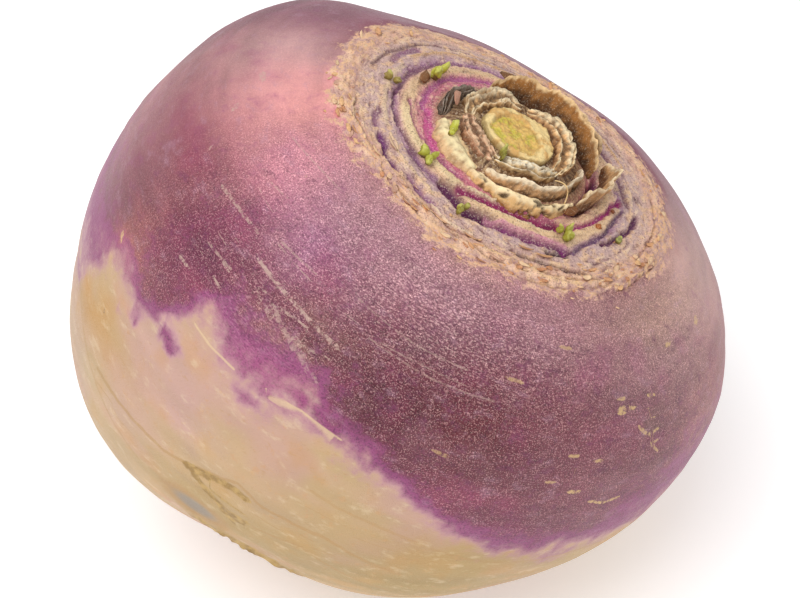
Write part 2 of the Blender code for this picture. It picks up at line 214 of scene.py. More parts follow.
# The old leaf scars: crests and furrows that run round the crown, each through points (degrees
# round the stem, distance in mm), with its half width and height in mm and its colour
Scar = namedtuple("Scar", "half_width height colour points")
SCARS = (
    Scar(0.75, 0.3, "ecd0a2", ((-180, 15.6), (-165, 15.7), (-150, 15.4), (-135, 14.5), (-120, 13.8),
         (-110, 13.2), (-100, 12.5), (-90, 11.8))),
    Scar(0.8, 0.1, "e8c496", ((-116, 15.0), (-105, 15.2), (-85, 15.4), (-75, 15.6), (-65, 16.2),
         (-58, 16.7), (-50, 15.9), (-40, 15.8), (-20, 16.3), (-10, 16.8))),
    Scar(0.7, 0.1, "e0bb92", ((-58, 13.2), (-40, 13.4), (-25, 14.0), (-12, 14.4))),
    Scar(0.6, 0.2, "dcb890", ((5, 17.0), (40, 16.0), (80, 15.2), (120, 15.0), (150, 15.4), (180, 15.6))),
    Scar(1.1, -0.7, "98205e", ((-120, 14.4), (-108, 13.7), (-98, 13.1), (-88, 12.9), (-78, 13.2),
         (-70, 13.8), (-62, 14.0))),
    Scar(0.6, -0.2, "c84a90", ((-185, 12.4), (-172, 12.6), (-162, 12.8), (-150, 12.9))),
    Scar(0.35, -0.4, "a0527c", ((-188, 15.0), (-180, 14.9), (-170, 14.7), (-160, 14.1), (-150, 13.6),
         (-138, 13.1), (-124, 12.7))),
    Scar(0.4, -0.7, "b02c80", ((-61, 14.2), (-50, 14.4), (-40, 14.5), (-33, 14.8), (-25, 15.3), (-15, 15.8),
         (-8, 16.4), (-2, 17.3))),
    Scar(0.7, -0.9, "6f2050", ((-40, 12.3), (-28, 12.5), (-18, 12.6), (-8, 12.8), (2, 13.4))),
    Scar(0.28, -0.5, "6b4258", ((-190, 17.2), (-180, 17.3), (-165, 17.0), (-158, 16.5), (-148, 16.4))),
    Scar(0.5, -0.4, "84587c", ((-152, 17.0), (-140, 16.9), (-130, 16.4), (-122, 16.2))),
    Scar(1.25, -1.1, "62184e", ((-126, 15.9), (-118, 16.7), (-113, 17.4), (-108, 16.9), (-102, 16.5))),
    Scar(0.35, 0.0, "d08a9e", ((-104, 15.9), (-85, 16.0), (-70, 16.4), (-62, 17.0))),
    Scar(0.55, -0.9, "862c70", ((-107, 16.8), (-95, 16.6), (-85, 16.8), (-75, 17.0), (-68, 17.4),
         (-60, 18.1))),
    Scar(0.32, -0.6, "5e3a68", ((-61, 18.1), (-54, 17.7), (-48, 17.1), (-40, 17.1), (-33, 17.1),
         (-25, 16.8), (-18, 17.2), (-8, 17.8))),
    Scar(0.55, -0.7, "7c3878", ((-159, 20.3), (-150, 21.1), (-142, 21.4))),
    Scar(0.55, -0.6, "8c4c86", ((-137, 20.3), (-130, 20.6), (-123, 20.5))),
    Scar(0.15, -0.4, "74402e", ((-178, 22.4), (-168, 23.4), (-158, 23.0), (-150, 22.6))),
    Scar(0.16, 0.35, "f8d6a8", ((-176, 22.9), (-166, 23.8), (-158, 23.4))),
    Scar(0.15, -0.4, "6e3c2e", ((-146, 23.0), (-138, 23.7), (-130, 23.5), (-124, 23.9))),
    Scar(0.18, 0.4, "f6d09c", ((-148, 22.2), (-138, 22.8), (-128, 22.6))),
    Scar(0.14, -0.4, "6e3c2e", ((-116, 23.2), (-108, 22.9), (-100, 23.3), (-92, 23.2))),
    Scar(0.18, 0.4, "f6cc96", ((-100, 22.4), (-90, 22.2), (-78, 23.2), (-66, 23.5), (-54, 23.3))),
    Scar(0.15, -0.45, "70392a", ((-58, 24.8), (-46, 24.9), (-34, 24.4), (-24, 24.6))),
    Scar(0.2, 0.4, "f4c68c", ((-52, 24.3), (-42, 24.4), (-30, 23.9), (-20, 24.1))),
    Scar(0.15, -0.4, "70392a", ((-28, 22.4), (-16, 22.6), (-4, 23.2), (8, 23.0))),
    Scar(0.6, -0.5, "7c4370", ((-172, 19.8), (-165, 20.6))),
    Scar(0.35, -0.9, "492033", ((-91, 20.4), (-83, 20.3), (-76, 20.6), (-70, 21.1), (-64, 21.5),
         (-57, 21.9))),
    Scar(0.55, -1.0, "3a1830", ((-72, 18.6), (-68, 18.7), (-64, 18.6))),
    Scar(0.4, -0.7, "6c2f60", ((-40, 18.1), (-30, 18.7), (-22, 19.1), (-14, 19.7), (-6, 20.1))),
    Scar(0.3, -0.5, "86452f", ((-123, 21.5), (-118, 22.1), (-112, 22.2), (-107, 21.6), (-103, 20.9))),
    Scar(0.22, -0.4, "7c4c34", ((-142, 22.4), (-132, 22.0), (-124, 22.3))),
    Scar(0.18, -0.3, "82542f", ((-95, 24.0), (-80, 24.2), (-66, 24.1), (-52, 23.8), (-44, 23.2))),
    Scar(0.18, -0.3, "82542f", ((-90, 22.6), (-78, 22.4), (-60, 22.9), (-50, 22.6))),
    Scar(0.4, -0.5, "6e3c5a", ((-4, 18.4), (20, 17.6), (60, 17.0), (100, 16.6), (140, 16.6), (172, 17.1))),
    Scar(0.5, -0.4, "a84a8d", ((60, 14.4), (90, 13.8), (120, 13.4), (140, 13.5), (174, 13.0))),
    Scar(0.7, -0.4, "804874", ((132, 20.0), (142, 20.2), (150, 19.8))),
    Scar(0.3, -0.5, "6b4a50", ((30, 21.0), (60, 20.6), (90, 20.0), (120, 20.8), (160, 21.4))),
    Scar(0.17, 0.3, "f5dcb0", ((-117, 14.9), (-105, 14.6), (-95, 14.4), (-85, 14.3), (-75, 14.7),
         (-66, 15.0))),
    Scar(0.17, 0.3, "f5dcb0", ((-120, 13.1), (-108, 12.6), (-98, 12.0), (-90, 11.6))),
    Scar(0.2, 0.35, "f0d2b2", ((-124, 20.9), (-118, 21.5), (-112, 21.6), (-107, 21.0))),
    Scar(0.2, 0.3, "f0cda4", ((-160, 18.9), (-150, 19.2), (-140, 19.3), (-128, 19.0))),
    Scar(0.4, 0.2, "dfc1a0", ((150, 18.2), (165, 18.6), (180, 18.6), (195, 18.9))),
    Scar(0.3, 0.3, "d2a67c", ((20, 19.4), (50, 19.0), (80, 18.4), (110, 18.6), (140, 18.8))),
)

# How much redder and deeper the purple grows from the crown down to the widest ring
UPPER_PURPLE = (1.08, 1.00, 0.98)
LOWER_PURPLE = (0.84, 0.54, 0.56)

# Where the purple ends, in degrees down from the crown, by degrees round the axis, and over how
# many degrees it fades there
PURPLE_EDGE = (
    (-180, 94, 6), (-170, 93, 5), (-164, 91, 3), (-160, 86, 2), (-156, 83, 2), (-152, 83, 1.5),
    (-149, 84.5, 1), (-145, 84, 1), (-141, 79, 1.2), (-139, 75.5, 1.5), (-136, 73.5, 2.5), (-130, 76, 3.5),
    (-121, 75, 3.0), (-112, 75, 2.0), (-106, 76.5, 1.4), (-98, 78.5, 1.0), (-91, 80.5, 1.0),
    (-84, 84.5, 1.0), (-77, 86.5, 1.2), (-66, 89, 1.5), (-55, 89, 2.5), (-45, 87, 4), (-32, 83, 6),
    (0, 86, 6), (50, 90, 5), (90, 86, 5), (130, 92, 5), (160, 96, 6), (180, 94, 6),
)

# The skin's tones: patches by degrees down and round, how many degrees they reach each way, how
# strong they are, and their colour
Patch = namedtuple("Patch", "down around reach_down reach_around strength colour")
PURPLE_PATCHES = (
    Patch(46, -120, 9, 60, 0.7, "a8808a"),
    Patch(36, -120, 5, 90, 0.7, "c79c90"),
    Patch(68, -100, 11, 26, 1.0, "5f2a3e"),
    Patch(59, -86, 8, 30, 0.55, "6e3642"),
    Patch(70, -144, 9, 13, 0.9, "74355a"),
    Patch(50, -178, 13, 20, 0.8, "cc9090"),
    Patch(44, -174, 9, 16, 0.95, "e8a2a0"),
    Patch(50, -152, 7, 10, 0.65, "cf8a9c"),
    Patch(56, -132, 6, 10, 0.45, "a06796"),
    Patch(76, -128, 4, 9, 0.75, "b7688a"),
    Patch(80, -100, 4, 14, 0.6, "7c3560"),
    Patch(85, -72, 5, 16, 0.7, "7d3a66"),
    Patch(66, -88, 6, 9, 0.5, "6b2a30"),
    Patch(46, -30, 9, 30, 0.75, "b3937f"),
    Patch(58, -38, 9, 20, 0.7, "94777a"),
    Patch(72, -48, 9, 16, 0.7, "7d5a62"),
    Patch(66, -28, 10, 9, 0.8, "b99a94"),
    Patch(60, -5, 30, 22, 0.8, "c3a49c"),
    Patch(63, -47, 3, 5, 0.6, "85746e"),
    Patch(74, -58, 5, 7, 0.4, "86686f"),
    Patch(66, -43.5, 1.6, 1.8, 0.8, "8d3f74"),
    Patch(69, -123, 2.0, 10, 0.65, "94806c"),
    Patch(63, -120, 1.6, 8, 0.4, "94806c"),
    Patch(75, -118, 2.6, 8, 0.7, "b04a74"),
    Patch(75, 178, 20, 14, 0.8, "b4989c"),
    Patch(83, -158, 6, 5, 0.85, "cf9a80"),
    Patch(73, -160, 6, 6, 0.5, "b07c80"),
    Patch(60, 165, 30, 12, 0.6, "c0a3a0"),
)
CREAM_PATCHES = (
    Patch(97, -157, 5, 11, 0.8, "c5934f"),
    Patch(93, -178, 6, 10, 0.7, "c3a0a6"),
    Patch(86, -140, 5, 12, 0.5, "cfa79e"),
    Patch(92, -128, 4, 8, 0.35, "bd94a0"),
    Patch(104, -140, 6, 14, 0.4, "cfab98"),
    Patch(107, -155, 6, 12, 0.6, "cdb489"),
    Patch(98, -112, 5, 18, 0.45, "c8a68a"),
    Patch(93, -72, 6, 24, 0.7, "b8965c"),
    # The three darker olive patches low on the underside are partly the skin's own tone and partly painted
    # shade from below.
    Patch(105, -75, 11, 32, 0.75, "a38a50"),
    Patch(108, -118, 7, 18, 0.6, "b3955c"),
    Patch(112, -105, 6, 20, 0.5, "b3955c"),
    Patch(100, -45, 10, 18, 0.6, "c4aa7c"),
)
VIOLET_BLOBS = ((84, -140, 1.9, 3.4, 0.8), (87.5, -147.5, 1.3, 1.6, 0.7), (80.5, -122.5, 2.2, 3.6, 0.6),
                (76, -127.5, 3.2, 4.0, 0.6), (89.5, -152, 1.0, 1.2, 0.45))

# Marks on the skin, each with its half width in millimetres, how strong it is and the points it
# runs through, in degrees down and round
Mark = namedtuple("Mark", "half_width strength points")
SILVER_MARKS = (
    Mark(0.28, 0.6, ((61, -154), (60.4, -148), (60, -141))),
    Mark(0.2, 0.55, ((67.5, -146), (67, -139))),
    Mark(0.26, 0.8, ((73, -148), (72.7, -145))),
    Mark(0.32, 0.7, ((62.6, -137), (63.2, -126), (64.2, -115))),
    Mark(0.35, 0.5, ((66.5, -128), (68.5, -121), (70.5, -115))),
    Mark(0.2, 0.55, ((65.5, -130), (66.8, -124), (67.6, -118))),
    Mark(0.22, 0.45, ((68, -124), (70, -118), (71.5, -113.5))),
    Mark(0.2, 0.7, ((70, -140.5), (70.5, -138))),
    Mark(0.2, 0.45, ((58, -137), (57.4, -127))),
    Mark(0.15, 0.4, ((54, -150), (53, -144))),
    Mark(0.18, 0.45, ((66, -133), (68, -127))),
    Mark(0.5, 0.6, ((50.7, 177), (50.7, 180))),
    Mark(0.45, 0.75, ((54.6, -173), (55.4, -171.5))),
    Mark(0.2, 0.5, ((60, -164), (61, -163))),
    Mark(0.15, 0.4, ((48, -160), (46.5, -150), (45.5, -140))),
    Mark(0.15, 0.35, ((56, -118), (57, -104), (57, -92))),
    Mark(0.15, 0.35, ((60, -112), (60.6, -98), (60.2, -84))),
)
YELLOW_MARKS = (
    Mark(0.6, 0.7, ((52.6, -22.5), (52.4, -21))),
    Mark(0.5, 0.7, ((51.8, -37.5), (51.7, -36))),
    Mark(0.3, 0.8, ((58.2, -47), (58.6, -45))),
    Mark(0.3, 0.7, ((57.7, -56), (57.7, -54))),
    Mark(0.3, 0.8, ((59.5, -53), (59.6, -51))),
    Mark(0.3, 0.8, ((60, -56), (60, -54))),
    Mark(0.3, 0.7, ((67, -66), (67, -64))),
    Mark(0.3, 0.7, ((68, -60), (68, -58))),
    Mark(0.35, 0.8, ((74, -63), (74, -60.5))),
    Mark(0.3, 0.6, ((72, -69), (72, -67))),
    Mark(0.3, 0.8, ((76.5, -57), (77.5, -53), (77, -49))),
    Mark(0.3, 0.7, ((63, -50), (65, -47), (64.5, -44))),
    Mark(0.25, 0.6, ((66.5, -46), (69, -43))),
    Mark(0.3, 0.5, ((49, -72), (49.2, -69))),
    Mark(0.3, 0.5, ((56, -84), (56.2, -80))),
    Mark(0.3, 0.5, ((71, -92), (71.2, -89))),
    Mark(0.5, 0.8, ((82, -161.5), (83, -160.5))),
)
RIDGE_MARKS = (
    Mark(0.24, 0.75, ((77.6, -137.5), (78.4, -133), (78.2, -127))),
    Mark(0.22, 0.75, ((76.9, -121), (76.0, -114), (76.4, -106))),
    Mark(0.18, 0.6, ((77.8, -120), (77.2, -113), (77.6, -107.5))),
)
GROWTH_MARKS = (
    Mark(0.38, 0.6, ((103, -150), (103, -139), (102.4, -130), (101, -125), (96.2, -116), (97.6, -111),
         (96.8, -98), (100.8, -82))),
    Mark(0.32, 0.5, ((105, -110), (102.4, -101), (107, -90), (110, -79))),
    Mark(0.3, 0.35, ((88.3, -106), (89.3, -88.5), (93, -70), (93, -39))),
    Mark(0.3, 0.35, ((99, -163), (106, -150), (112, -135))),
    Mark(0.3, 0.3, ((110, -112), (112, -96), (115, -80))),
)
BARK_MARKS = (
    Mark(0.8, 0.85, ((101.2, -125.5), (99.6, -121), (98.2, -116.5), (98.6, -113))),
    Mark(0.7, 0.85, ((101.8, -123.5), (104.0, -119.5), (105.4, -115), (105.2, -111))),
    Mark(0.5, 0.8, ((103.6, -119), (106.5, -115.5), (108.5, -112.5))),
)

# Single places on the skin: degrees down and round, and how many degrees they reach each way
RAGGED_RIM = (119.6, -108, 2.8, 16)
BRUISE = (113.0, -121, 4.2, 7.5)
SUGARY = (58, -95, 16, 35)
BRUSHED = (51, -98, 11, 34)
LESS_BRUSHED = (66, -132, 9, 14)


def lean(points):
    """Points from the bulb's own upright frame to where it lies."""
    turn = np.array(Matrix.Rotation(LEAN, 3, "Y"))
    return points @ turn.T + BULB_MIDDLE


def rows(*columns):
    """Columns of values, or single values, side by side as rows."""
    return np.stack(np.broadcast_arrays(*columns), -1)


def smooth_step(low, high, value):
    """0 below low, 1 above high, and a smooth rise between them."""
    share = np.clip((value - low) / (high - low), 0.0, 1.0)
    return share * share * (3.0 - 2.0 * share)


def mix(one, other, share):
    """Colours between one and other, by a share for each place."""
    return one + (other - one) * np.asarray(share)[..., None]


def layered(tint, *layers):
    """A tint under layers of colour, each as six hex digits and a share for each place."""
    for colour, share in layers:
        tint = mix(tint, linear(colour), share)
    return tint


def ripple(points, size, octaves=3, shift=0.0):
    """Smooth noise, about -1 to 1, with features of a size, at each point."""
    scaled = points / size + shift
    return np.array([noise.fractal(place, 1.0, 2.0, octaves) for place in scaled.tolist()])


def direction_to(down, around):
    """Unit vectors at angles down from the crown and round the axis, in radians."""
    return rows(np.sin(down) * np.cos(around), np.sin(down) * np.sin(around), np.cos(down))


def turn_gap(one, other):
    """How far one angle is round from another, in degrees, from -180 to 180."""
    return (one - other + 180.0) % 360.0 - 180.0


def soft_spot(place, down, around):
    """1 in the middle of a single place on the skin, and less and less away from it."""
    middle_down, middle_around, reach_down, reach_around = place
    off_down = (down - middle_down) / reach_down
    off_around = (around - middle_around) / reach_around
    return np.exp(-off_down ** 2 - off_around ** 2)


def oval_reach(across, along):
    """Distance from the bulb's middle to its even outline, for a unit direction's two parts."""
    depth = np.where(along >= 0.0, CROWN_HEIGHT, ROOT_DEPTH)
    fullness = np.where(along >= 0.0, CROWN_FULLNESS, ROOT_FULLNESS)
    return ((across / BULB_RADIUS) ** fullness + (np.abs(along) / depth) ** fullness) ** (-1.0 / fullness)


def swell(directions):
    """How far the uneven growth moves the skin outwards along unit directions."""
    total = np.zeros(len(directions))
    for swelling in SWELLINGS:
        centre = direction_to(radians(swelling.down), radians(swelling.around))
        total += swelling.height * np.exp((directions @ centre - 1.0) / radians(swelling.spread) ** 2)
    return total


def bulb_height(x, y):
    """Height of the crown end's outline above the bulb's middle, found by halving."""
    low = np.zeros(len(x))
    high = np.full(len(x), 2.0 * CROWN_HEIGHT)
    for _ in range(HALVINGS):
        middle = (low + high) / 2.0
        points = rows(x, y, middle)
        length = np.linalg.norm(points, axis=1)
        directions = points / length[:, None]
        even_reach = oval_reach(np.hypot(directions[:, 0], directions[:, 1]), directions[:, 2])
        inside = length < even_reach + swell(directions)
        low = np.where(inside, middle, low)
        high = np.where(inside, high, middle)
    return low


def around_stem(azimuth, distance):
    """The x, y of places on the crown, by angle round the stem and distance from it."""
    return CROWN_X + distance * np.cos(azimuth), CROWN_Y + distance * np.sin(azimuth)


def scar_share(scar, azimuth, distance):
    """How much of a scar there is at places on the crown, from 0 to 1."""
    rounds = [point[0] for point in scar.points]
    start, end = rounds[0], rounds[-1]
    turned_to = (start + end) / 2 + turn_gap(azimuth, (start + end) / 2)
    line = np.interp(turned_to, rounds, [point[1] for point in scar.points])
    past_end = np.maximum(np.maximum(start - turned_to, turned_to - end), 0.0) * np.radians(distance)
    gap = np.hypot(distance - line, past_end) / scar.half_width
    return 1.0 - smooth_step(0.45, 1.35, gap)


def crown_surface(x, y):
    """The crown's height and colour at x, y, and its place in the crown's bands; the colour holds painted
    shade in its deep furrows, lowest grooves and dents.
    """
    azimuth = np.degrees(np.arctan2(y - CROWN_Y, x - CROWN_X))
    distance = np.hypot(x - CROWN_X, y - CROWN_Y) / MM
    flat = rows(x, y, 0.0)
    settled = smooth_step(9, 12, distance)
    wander = (0.30 * ripple(flat, 3.2 * MM, 3) + 0.20 * ripple(flat, 1.0 * MM, 2, 7.0)) * settled
    sway = 3.0 * ripple(flat, 2.4 * MM, 2, 14.0)
    layers = rows(np.radians(azimuth) * distance / 2.4, distance / 0.5, 0.0)
    fibres = ripple(layers, 1.0, 3, 3.0)
    near = distance + wander
    place = near - np.interp(azimuth, *zip(*COLLAR_DRIFT)) * smooth_step(18.5, 21.5, distance)
    radii = [band[0] for band in CROWN_BANDS]
    colours = np.array([linear(band[2]) for band in CROWN_BANDS])
    relief = np.interp(place, radii, [band[1] for band in CROWN_BANDS])
    tint = np.stack([np.interp(place, radii, colours[:, k]) for k in range(3)], -1)
    outer = smooth_step(10, 12, place)
    crumbs = ripple(flat, 0.55 * MM, 2, 51.0)
    dents = ripple(flat, 1.1 * MM, 3, 61.0)
    patchy = smooth_step(-0.3, 0.35, ripple(flat, 3.6 * MM, 3, 71.0))
    fibres = fibres * (0.35 + 0.65 * patchy)
    tan = smooth_step(-0.05, 0.4, ripple(flat, 1.3 * MM, 3, 27.0) + 0.3 * crumbs)
    tint = layered(
        tint,
        ("efc294", 0.70 * tan * smooth_step(16.5, 19, place)),
        ("f4d6ac", 0.50 * smooth_step(0.12, 0.45, fibres + 0.5 * crumbs) * outer),
        ("86505a", 0.50 * smooth_step(0.12, 0.45, -fibres + 0.5 * crumbs) * outer),
        # Painted shade in the lowest fibre grooves, where the relief below is lowest.
        ("5e3340", 0.70 * smooth_step(0.42, 0.7, -fibres - 0.4 * crumbs) * outer),
        ("d6b488", 0.70 * smooth_step(-0.1, 0.4, crumbs) * (1.0 - outer)),
        # Painted shade in the dents of the inner crown, where the relief is sunk.
        ("4a3020", 0.70 * smooth_step(0.1, 0.5, -dents) * (1.0 - outer)),
    )
    relief = relief + 0.20 * fibres * outer + 0.13 * crumbs + 0.25 * dents * (1.0 - outer)
    for scar in SCARS:
        share = scar_share(scar, azimuth + sway, near)
        broken = 1.0 if scar.height < -0.6 or scar.height > 0.25 else 0.75 + 0.5 * fibres
        share = np.clip(share * broken, 0, 1)
        tint = mix(tint, linear(scar.colour), share)
        # Deep furrows are darkened further: painted shade in them.
        if scar.height < -0.5:
            tint = tint * (1.0 - 0.45 * share * smooth_step(-0.3, 0.5, fibres))[:, None]
        relief = relief + scar.height * share
    corky = smooth_step(20.0, 21.5, place) * (1.0 - smooth_step(24.4, 26.5, place))
    around = rows(np.radians(azimuth) * distance / 1.8, distance, 0.0)
    relief = relief + corky * (0.3 + 0.9 * patchy) * (0.42 * np.abs(ripple(around, 0.85, 3, 3.0)) - 0.06)
    fade = 1.0 - smooth_step(24.0, 27.5, place)
    return bulb_height(x, y) + relief * fade * MM, tint * (1.0 + 0.22 * fibres)[:, None], place


def root_outline():
    """The outline that is turned into the root: crown, sides, and the taproot's flare and end."""
    distances = [0.0]
    for reach, step in CROWN_RINGS:
        count = round((reach - distances[-1]) / step)
        distances += list(np.linspace(distances[-1], reach, count + 1)[1:])
    outline = []
    for distance in distances:
        level = (1 - (distance * MM / BULB_RADIUS) ** CROWN_FULLNESS) ** (1 / CROWN_FULLNESS)
        outline.append((distance * MM, CROWN_HEIGHT * level))
    edge_angle = atan2(*outline[-1])
    neck_angle = pi - atan2(TAPROOT_RADIUS + TAPROOT_FLARE, ROOT_DEPTH)
    for ring in range(1, SIDE_RINGS + 1):
        down = edge_angle + (neck_angle - edge_angle) * ring / SIDE_RINGS
        reach = float(oval_reach(sin(down), cos(down)))
        outline.append((reach * sin(down), reach * cos(down)))
    neck, neck_height = outline[-1]
    end_height = -(ROOT_DEPTH + TAPROOT_LENGTH)
    for ring in range(1, TAPROOT_RINGS + 1):
        share = ring / TAPROOT_RINGS
        radius = neck + (TAPROOT_RADIUS - neck) * (1.0 - (1.0 - share) ** 2)
        outline.append((radius, neck_height + (end_height - neck_height) * share ** 1.5))
    outline += [(TAPROOT_RADIUS * share, end_height) for share in (0.9, 0.6, 0.3, 0.0)]
    return outline


def turned(name, outline, segments):
    """A closed mesh turned from an outline of (radius, height) points that ends on the axis."""
    bm = bmesh.new()
    corners = [bm.verts.new((radius, 0.0, height)) for radius, height in outline]
    edges = [bm.edges.new(pair) for pair in zip(corners, corners[1:])]
    bmesh.ops.spin(bm, geom=corners + edges, cent=(0, 0, 0), axis=(0, 0, 1), angle=2 * pi,
                   steps=segments, use_merge=True)
    bmesh.ops.remove_doubles(bm, verts=bm.verts[:], dist=DOUBLES)
    bmesh.ops.recalc_face_normals(bm, faces=bm.faces[:])
    return mesh_from(bm, name)


def corners_of(mesh):
    """A mesh's vertices as rows of x, y, z."""
    flat = np.empty(3 * len(mesh.vertices))
    mesh.vertices.foreach_get("co", flat)
    return flat.reshape(-1, 3)


def set_corners(mesh, points):
    """Puts a mesh's vertices at rows of x, y, z."""
    mesh.vertices.foreach_set("co", np.ascontiguousarray(points, dtype=np.float32).ravel())
    mesh.update()


def paint(mesh, name, values):
    """Stores a value, or three, for each vertex under a name that the material reads."""
    kind, key = ("FLOAT", "value") if np.ndim(values) == 1 else ("FLOAT_VECTOR", "vector")
    layer = mesh.attributes.new(name, kind, "POINT")
    layer.data.foreach_set(key, np.ascontiguousarray(values, dtype=np.float32).ravel())


def add_piece(name, mesh, look, material_slot, *stands_for):
    """Puts a finished mesh in the scene as a smooth piece that rides on the root's body."""
    mesh.shade_smooth()
    mesh.materials.append(look)
    piece = new_object(name, mesh)
    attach(piece, "root")
    if stands_for:
        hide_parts(*stands_for)
    return piece


def patched(tint, patches, down, around, sway):
    """Colours with soft-edged patches laid over them."""
    for patch in patches:
        reach = ((down - patch.down + sway) / patch.reach_down) ** 2
        reach = reach + ((turn_gap(around, patch.around) + 1.5 * sway) / patch.reach_around) ** 2
        tint = mix(tint, linear(patch.colour), patch.strength * np.exp(-reach))
    return tint


def mark_field(marks, down, around):
    """For each place: signed distance to the nearest mark and how far past its end it is, both in
    half widths of that mark, and the mark's strength."""
    nearest = np.full(len(down), FAR_AWAY)
    field = np.zeros((len(down), 3))
    field[:, 0] = FAR_AWAY
    for mark in marks:
        for one, other in zip(mark.points, mark.points[1:]):
            middle = radians((one[0] + other[0]) / 2)
            step = np.array((other[0] - one[0], (other[1] - one[1]) * sin(middle)))
            length = hypot(*step)
            away = rows(down - one[0], turn_gap(around, one[1]) * np.sin(np.radians(down)))
            along = away @ step / length
            aside = (away[:, 0] * step[1] - away[:, 1] * step[0]) / length
            past = np.maximum(np.maximum(-along, along - length), 0.0)
            size = degrees(mark.half_width * MM / SKIN_REACH)
            gap = np.hypot(aside, past) / size
            closer = gap < nearest
            nearest = np.where(closer, gap, nearest)
            values = rows(aside / size, past / size, mark.strength)
            field = np.where(closer[:, None], values, field)
    return field


def skin_colours(down, around, points):
    """The purple skin's colour, the cream skin's colour, and how much purple there is."""
    slow = ripple(points, 20 * MM, 3, 1.0)
    patchy = ripple(points, 6 * MM, 3, 5.0)
    turn = np.radians(around)
    streaks = ripple(rows(down / 3.2, np.cos(turn) * 2.2, np.sin(turn) * 2.2), 1.0, 4, 9.0)
    sway = 3.0 * patchy + 1.2 * streaks

    purple = np.tile(linear("8a5868"), (len(down), 1))
    purple = patched(purple, PURPLE_PATCHES, down, around, sway)
    purple = layered(
        purple,
        ("a0507a", 0.30 * smooth_step(0.1, 0.6, patchy) * smooth_step(44, 52, down)),
        ("8b6f78", 0.30 * smooth_step(0.1, 0.6, -patchy) * smooth_step(50, 60, down)),
    )
    purple = purple * mix(np.array(UPPER_PURPLE), np.array(LOWER_PURPLE), smooth_step(48, 66, down))
    purple = purple * (1.0 + 0.22 * streaks + 0.12 * slow)[:, None]

    cream = mix(linear("ccab80"), linear("caa28e"), smooth_step(-0.25, 0.35, slow + 0.5 * streaks))
    cream = patched(cream, CREAM_PATCHES, down, around, sway)
    cream = layered(cream, ("c08f4e", 0.35 * smooth_step(0.15, 0.6, patchy + 0.5 * streaks)))
    cream = 0.94 * cream * (1.0 + 0.14 * streaks + 0.06 * patchy)[:, None]

    edge_round, edge_down, edge_fade = zip(*PURPLE_EDGE)
    edge = np.interp(around, edge_round, edge_down)
    fade = np.interp(around, edge_round, edge_fade)
    ragged = patchy * 2.2 + 1.6 * streaks + 0.8 * ripple(points, 2.0 * MM, 3, 21.0)
    gap = (down - edge + ragged * np.sqrt(fade)) / fade
    pigment = 1.0 / (1.0 + np.exp(np.clip(gap, -30, 30)))
    blotchy = ripple(points, 1.8 * MM, 3, 33.0)
    for blob_down, blob_around, tall, wide, strength in VIOLET_BLOBS:
        reach = ((down - blob_down + 0.9 * blotchy) / tall) ** 2
        reach = reach + ((turn_gap(around, blob_around) + 1.6 * blotchy) / wide) ** 2
        pigment = np.maximum(pigment, strength * np.exp(-reach ** 1.3))
    return purple, cream, pigment


root_mesh = turned("root_skin", root_outline(), ROOT_SEGMENTS)
even = corners_of(root_mesh)
across = np.hypot(even[:, 0], even[:, 1])
directions = even / np.linalg.norm(even, axis=1)[:, None]
neck_radius = TAPROOT_RADIUS + TAPROOT_FLARE
free = np.where(even[:, 2] < 0, smooth_step(neck_radius, neck_radius + TAPROOT_CALM, across), 1.0)
grown = even + directions * (swell(directions) * free)[:, None]
near_stem = np.where(even[:, 2] > 0, 1.0 - smooth_step(CROWN_RIM, CROWN_FADE, across), 0.0)
grown[:, 0] += CROWN_X * near_stem
grown[:, 1] += CROWN_Y * near_stem

crown = near_stem > 0.0
place = np.full(len(grown), PAST_CROWN)
crown_tint = np.zeros((len(grown), 3))
grown[crown, 2], crown_tint[crown], place[crown] = crown_surface(grown[crown, 0], grown[crown, 1])

down = np.degrees(np.arccos(np.clip(directions[:, 2], -1, 1)))
around = np.degrees(np.arctan2(directions[:, 1], directions[:, 0]))
purple, cream, pigment = skin_colours(down, around, grown)

# The skin is never quite even: broad dents, low rings, raised marks, and a knobbly edge below
side = smooth_step(26, 32, place)
low_rings = rows(np.radians(down) * 30.0, directions[:, 0], directions[:, 1])
uneven_by = DENT_DEPTH * ripple(grown, 9 * MM, 2, 4.0) + LOW_RING_HEIGHT * ripple(low_rings, 1.0, 3, 2.0)
grown += directions * (side * uneven_by)[:, None]
ragged_rim = soft_spot(RAGGED_RIM, down, around)
grown += directions * (ragged_rim * (0.45 + 0.6 * ripple(grown, 1.6 * MM, 3, 8.0)) * MM)[:, None]
bruise = soft_spot(BRUISE, down, around)
ridge = mark_field(RIDGE_MARKS, down, around)
bark = mark_field(BARK_MARKS, down, around)
raised = RIDGE_HEIGHT * np.exp(-ridge[:, 0] ** 2 - ridge[:, 1] ** 2)
sunken = BARK_DEPTH * np.exp(-(bark[:, 0] ** 2 + bark[:, 1] ** 2) / 2) + BRUISE_DEPTH * bruise
grown += directions * (raised - sunken)[:, None]

laid = lean(grown)
laid[:, 2] = np.maximum(laid[:, 2], 0.0)
set_corners(root_mesh, laid)

